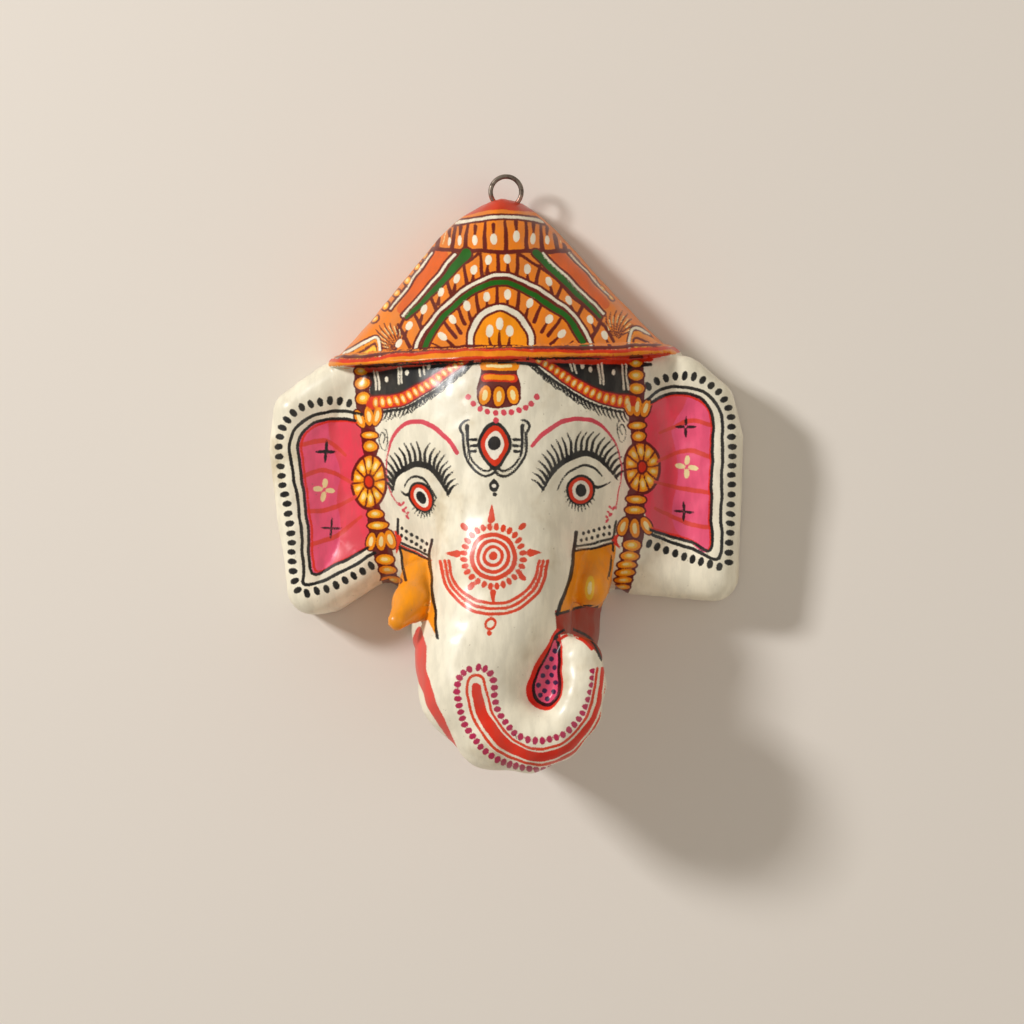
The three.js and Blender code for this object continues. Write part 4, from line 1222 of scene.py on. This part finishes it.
def paint_layer_group():
    """Lays one colour over another inside the edge that the distance gives."""
    tree, start, end = group_tree(
        "Paint layer",
        [("Base", "colour"), ("Ink", "colour"), ("Distance", "value"), ("Rough edge", "value"),
        ("Brush", "value")],
        [("Colour", "colour"), ("Mask", "value")],
    )
    ragged = math_node(tree, "ADD", start.outputs["Distance"], start.outputs["Rough edge"])
    mask = map_node(tree, ragged, -0.55, 0.55, 1.0, 0.0)
    share = math_node(tree, "MULTIPLY", mask, start.outputs["Brush"])
    tree.links.new(mix_node(tree, share, start.outputs["Base"], start.outputs["Ink"]),
        end.inputs["Colour"])
    tree.links.new(mask, end.inputs["Mask"])
    return tree


def handling_group():
    """Brush marks, faint stains, grain and specks, as masks."""
    tree, start, end = group_tree(
        "Age and handling",
        [("Place", "place")],
        [("Brush", "value"), ("Stain", "value"), ("Grain", "value"), ("Speck", "value")],
    )
    place = start.outputs["Place"]
    brush = noise_node(tree, place, 160, 4, 0.6, (1.0, 0.28, 0.5))
    stain = noise_node(tree, place, 24, 4, 0.62)
    tree.links.new(map_node(tree, brush, 0.3, 0.72), end.inputs["Brush"])
    tree.links.new(map_node(tree, stain, 0.52, 0.78), end.inputs["Stain"])
    tree.links.new(noise_node(tree, place, 900, 2, 0.5), end.inputs["Grain"])
    tree.links.new(map_node(tree, noise_node(tree, place, 420, 2, 0.6), 0.7, 0.78),
        end.inputs["Speck"])
    return tree


def group_node(tree, group):
    """A node that holds this group."""
    node = tree.nodes.new("ShaderNodeGroup")
    node.node_tree = group
    return node


def attribute(tree, name, output):
    """One output of the mesh's own attribute."""
    node = tree.nodes.new("ShaderNodeAttribute")
    node.attribute_name = name
    return node.outputs[output]


def new_material(name):
    """A material with only its shader, and that shader's node."""
    material = bpy.data.materials.new(name)
    material.use_nodes = True
    tree = material.node_tree
    shader = tree.nodes["Principled BSDF"]
    return material, tree, shader


def painted_material(look):
    """Glossy brush-painted paper: the paint layers, with the plain inner paper on the back."""
    material, tree, shader = new_material("painted paper")
    place = tree.nodes.new("ShaderNodeTexCoord").outputs["Object"]
    handling = group_node(tree, handling_group())
    tree.links.new(place, handling.inputs["Place"])
    layer_group = paint_layer_group()
    centred = math_node(tree, "SUBTRACT", noise_node(tree, place, 1400, 2), 0.5)
    grain = math_node(tree, "MULTIPLY", centred, 1.6)
    brush = map_node(tree, handling.outputs["Brush"], 0.0, 1.0, 0.965, 1.0)
    stained = math_node(tree, "MULTIPLY", handling.outputs["Stain"], 0.75)
    colour = mix_node(tree, stained, (*look.ground, 1), STAIN)
    inked = None
    for k in range(LAYERS):
        layer = group_node(tree, layer_group)
        tree.links.new(colour, layer.inputs["Base"])
        tree.links.new(attribute(tree, f"ink_{k}", "Color"), layer.inputs["Ink"])
        tree.links.new(attribute(tree, f"edge_{k}", "Fac"), layer.inputs["Distance"])
        tree.links.new(grain, layer.inputs["Rough edge"])
        tree.links.new(brush, layer.inputs["Brush"])
        colour = layer.outputs["Colour"]
        mask = layer.outputs["Mask"]
        inked = mask if inked is None else math_node(tree, "MAXIMUM", inked, mask)
    shade = map_node(tree, handling.outputs["Brush"], 0.0, 1.0, 0.9, 1.06)
    shaded = mix_node(tree, 1.0, colour, (1, 1, 1, 1), "MULTIPLY")
    tree.links.new(shade, shaded.node.inputs[7])
    specks = math_node(tree, "MULTIPLY", handling.outputs["Speck"], 0.35)
    speckled = mix_node(tree, specks, shaded, SPECK)
    paper = mix_node(tree, handling.outputs["Stain"], (*look.paper, 1), PAPER_STAIN)
    outer = attribute(tree, "painted", "Fac")
    tree.links.new(mix_node(tree, outer, paper, speckled), shader.inputs["Base Color"])
    gloss = map_node(tree, handling.outputs["Brush"], 0.0, 1.0, look.roughness - 0.05,
        look.roughness + 0.08)
    dull = math_node(tree, "MULTIPLY", math_node(tree, "SUBTRACT", 1.0, outer), 0.45)
    tree.links.new(math_node(tree, "ADD", gloss, dull), shader.inputs["Roughness"])
    tree.links.new(math_node(tree, "MULTIPLY", outer, 0.12), shader.inputs["Coat Weight"])
    shader.inputs["Coat Roughness"].default_value = 0.16
    shader.inputs["Specular IOR Level"].default_value = 0.36
    bump = tree.nodes.new("ShaderNodeBump")
    bump.inputs["Strength"].default_value = 0.24
    bump.inputs["Distance"].default_value = 0.0004
    lumps = math_node(tree, "MULTIPLY", noise_node(tree, place, 95, 4, 0.5), 1.4)
    fine = math_node(tree, "MULTIPLY", handling.outputs["Grain"], 0.14)
    raised = math_node(tree, "MULTIPLY", inked, 0.12)
    height = math_node(tree, "ADD", math_node(tree, "ADD", lumps, fine), raised)
    tree.links.new(height, bump.inputs["Height"])
    tree.links.new(bump.outputs[0], shader.inputs["Normal"])
    return material


def wire_material(look):
    """Dull steel wire with a smear of the crown's red paint."""
    material, tree, shader = new_material("hanging wire")
    place = tree.nodes.new("ShaderNodeTexCoord").outputs["Object"]
    tarnish = map_node(tree, noise_node(tree, place, 260, 4), 0.35, 0.7)
    steel = mix_node(tree, tarnish, (*look.colour, 1), TARNISH)
    split = tree.nodes.new("ShaderNodeSeparateXYZ")
    tree.links.new(place, split.inputs[0])
    low = map_node(tree, split.outputs["Y"], 0.1352, 0.1392, 1.0, 0.0)
    side = map_node(tree, split.outputs["X"], -0.006, 0.001, 1.0, 0.35)
    patch = map_node(tree, noise_node(tree, place, 330, 2), 0.35, 0.5)
    smear = math_node(tree, "MULTIPLY", math_node(tree, "MULTIPLY", low, side), patch)
    tree.links.new(mix_node(tree, smear, steel, SMEAR), shader.inputs["Base Color"])
    tree.links.new(math_node(tree, "SUBTRACT", 0.85, math_node(tree, "MULTIPLY", smear, 0.8)),
        shader.inputs["Metallic"])
    tree.links.new(map_node(tree, tarnish, 0.0, 1.0, 0.34, 0.6), shader.inputs["Roughness"])
    return material


class MaskLook(bpy.types.PropertyGroup):
    """The mask's finish"""

    finest: bpy.props.FloatProperty(name="Finest paint step",
        description="Shortest edge that is split along painted lines, in view units", default=2.0,
        min=0.8, max=6.0)
    most_triangles: bpy.props.IntProperty(name="Most triangles",
        description="The mesh is not refined past this many triangles", default=196500, min=60000,
        max=198000)
    ground: bpy.props.FloatVectorProperty(name="Ground",
        description="Colour of the mask's cream ground", subtype="COLOR", size=3,
        default=(0.92, 0.85, 0.67), min=0, max=1)
    paper: bpy.props.FloatVectorProperty(name="Inner paper",
        description="Colour of the bare paper inside", subtype="COLOR", size=3,
        default=(0.5, 0.4, 0.27), min=0, max=1)
    roughness: bpy.props.FloatProperty(name="Roughness",
        description="Roughness of the varnished paint", subtype="FACTOR", default=0.36, min=0.1,
        max=0.9)


class RingLook(bpy.types.PropertyGroup):
    """The hanging ring's finish"""

    radius: bpy.props.FloatProperty(name="Radius",
        description="Radius of the ring at the middle of its wire", subtype="DISTANCE",
        unit="LENGTH", default=0.0078, min=0.004, max=0.02)
    wire: bpy.props.FloatProperty(name="Wire", description="Thickness of the wire",
        subtype="DISTANCE", unit="LENGTH", default=0.0024, min=0.001, max=0.005)
    colour: bpy.props.FloatVectorProperty(name="Wire colour",
        description="Colour of the dull steel", subtype="COLOR", size=3, default=(0.3, 0.25, 0.2),
        min=0, max=1)


class StageLook(bpy.types.PropertyGroup):
    """The floor, light and camera"""

    floor: bpy.props.FloatVectorProperty(name="Floor", description="Colour of the pale floor",
        subtype="COLOR", size=3, default=(0.82, 0.76, 0.69), min=0, max=1)
    key: bpy.props.FloatProperty(name="Key light", description="Power of the soft key light",
        unit="POWER", default=47.0, min=0.0, max=500.0)
    fill: bpy.props.FloatProperty(name="Fill light", description="Power of the wide fill light",
        unit="POWER", default=6.0, min=0.0, max=500.0)
    sky: bpy.props.FloatProperty(name="Sky",
        description="Strength of the even light from all round", subtype="FACTOR", default=0.32,
        min=0.0, max=3.0)


def face_to_row(p):
    """Points of the face's frame, in the shared frame in metres."""
    return (np.asarray(p, float) + FACE_TO_ROW) * MM


class MASK_OT_shell(bpy.types.Operator):
    """Builds the mask's painted shell"""

    bl_idname = "mask.painted_shell"
    bl_label = "Painted shell"

    def execute(self, context):
        look = context.scene.mask_look
        paint_all()
        limits = (look.finest, look.most_triangles)
        p, triangles, reach, tint, outer = shaped_mask(*limits)
        shift = unevenness(p) * smooth_step(*WAVES_FROM, p[:, 2]) * outer
        slope = slope_of(outside, p)[1]
        steepness = np.maximum(np.linalg.norm(slope, axis=1), 1e-6)
        p = p - slope / steepness[:, None] * shift[:, None]
        piece = mesh_piece("painted_mask", face_to_row(p), triangles)
        mesh = piece.data
        for k in range(LAYERS):
            store(mesh, f"edge_{k}", "FLOAT", "value", np.where(outer, reach[k], REACH))
            colours = np.concatenate([tint[k], np.ones((len(p), 1))], 1)
            store(mesh, f"ink_{k}", "FLOAT_COLOR", "color", colours)
        store(mesh, "painted", "FLOAT", "value", outer)
        mesh.materials.append(painted_material(look))
        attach(piece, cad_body(MASK_NODE))
        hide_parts(MASK_NODE)
        return {"FINISHED"}


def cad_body(node):
    """The body that a node moves with."""
    groups = (frame["record"].get("behaviour") or {}).get("bodies") or {"root": [MASK_NODE,
        RING_NODE]}
    return next(body for body, members in groups.items() if node in members)


class MASK_OT_ring(bpy.types.Operator):
    """Builds the wire ring at the crown's peak"""

    bl_idname = "mask.hanging_ring"
    bl_label = "Hanging ring"

    def execute(self, context):
        look = context.scene.ring_look
        bpy.ops.object.select_all(action="DESELECT")
        bpy.ops.mesh.primitive_torus_add(
            major_radius=look.radius, minor_radius=look.wire / 2, major_segments=72,
            minor_segments=20, location=face_to_row(RING_AT)
        )
        piece = context.object
        piece.name = piece.data.name = "wire_ring"
        bpy.ops.object.transform_apply(location=True, rotation=True, scale=True)
        bpy.ops.object.mode_set(mode="EDIT")
        bpy.ops.mesh.select_all(action="SELECT")
        bpy.ops.transform.vertex_random(offset=0.00006, seed=4)
        bpy.ops.object.mode_set(mode="OBJECT")
        bpy.ops.object.shade_smooth()
        piece.data.materials.append(wire_material(look))
        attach(piece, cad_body(RING_NODE))
        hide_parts(RING_NODE)
        return {"FINISHED"}


class MASK_OT_stage(bpy.types.Operator):
    """Adds the pale floor, the soft lights and the camera"""

    bl_idname = "mask.stage"
    bl_label = "Stage"

    def execute(self, context):
        look = context.scene.stage_look
        bpy.ops.object.select_all(action="DESELECT")
        bpy.ops.mesh.primitive_plane_add(size=6, location=(0, 0, -0.0002))
        floor = context.object
        floor.name = "floor"
        material, _, shader = new_material("pale floor")
        shader.inputs["Base Color"].default_value = (*look.floor, 1)
        shader.inputs["Roughness"].default_value = 0.9
        floor.data.materials.append(material)
        middle = Vector(face_to_row(VIEW_AT))
        for name, toward, away, size, power in (
            ("key light", KEY_TOWARD, KEY_AWAY, KEY_SIZE, look.key),
            ("fill light", FILL_TOWARD, FILL_AWAY, FILL_SIZE, look.fill),
        ):
            direction = Vector(toward).normalized()
            bpy.ops.object.light_add(type="AREA", location=middle + direction * away)
            lamp = context.object
            lamp.name = name
            lamp.data.size = size
            lamp.data.energy = power
            lamp.rotation_euler = direction.to_track_quat("Z", "Y").to_euler()
        world = bpy.data.worlds.new("soft sky")
        world.use_nodes = True
        background = world.node_tree.nodes["Background"]
        background.inputs["Color"].default_value = SKY
        background.inputs["Strength"].default_value = look.sky
        context.scene.world = world
        context.scene.view_settings.view_transform = "Standard"
        away = Vector((math.sin(VIEW_TURN), 0, math.cos(VIEW_TURN))) * VIEW_AWAY * MM
        bpy.ops.object.camera_add(location=middle + away, rotation=(0, VIEW_TURN, 0))
        camera = context.object
        camera.data.angle = 2 * math.atan(VIEW_MIDDLE / 2 / VIEW_AWAY)
        camera.data.clip_start = 0.05
        context.scene.camera = camera
        return {"FINISHED"}


class MASK_PT_sizes(bpy.types.Panel):
    """The mask's sizes and colours"""

    bl_label = "Painted elephant mask"
    bl_idname = "MASK_PT_sizes"
    bl_space_type = "VIEW_3D"
    bl_region_type = "UI"
    bl_category = "Mask"

    def draw(self, context):
        scene = context.scene
        for look, operator in (
            (scene.mask_look, MASK_OT_shell),
            (scene.ring_look, MASK_OT_ring),
            (scene.stage_look, MASK_OT_stage),
        ):
            box = self.layout.box()
            for field in type(look).__annotations__:
                box.prop(look, field)
            box.operator(operator.bl_idname)


CLASSES = (MaskLook, RingLook, StageLook, MASK_OT_shell, MASK_OT_ring, MASK_OT_stage, MASK_PT_sizes)


def register():
    """Adds the classes and the three groups of settings."""
    for item in CLASSES:
        bpy.utils.register_class(item)
    bpy.types.Scene.mask_look = bpy.props.PointerProperty(type=MaskLook)
    bpy.types.Scene.ring_look = bpy.props.PointerProperty(type=RingLook)
    bpy.types.Scene.stage_look = bpy.props.PointerProperty(type=StageLook)


def unregister():
    """Takes the settings and the classes away again."""
    for name in ("mask_look", "ring_look", "stage_look"):
        delattr(bpy.types.Scene, name)
    for item in reversed(CLASSES):
        bpy.utils.unregister_class(item)


def main():
    """Builds everything in order."""
    register()
    bpy.ops.mask.painted_shell()
    bpy.ops.mask.hanging_ring()
    bpy.ops.mask.stage()


if __name__ == "__main__":
    main()
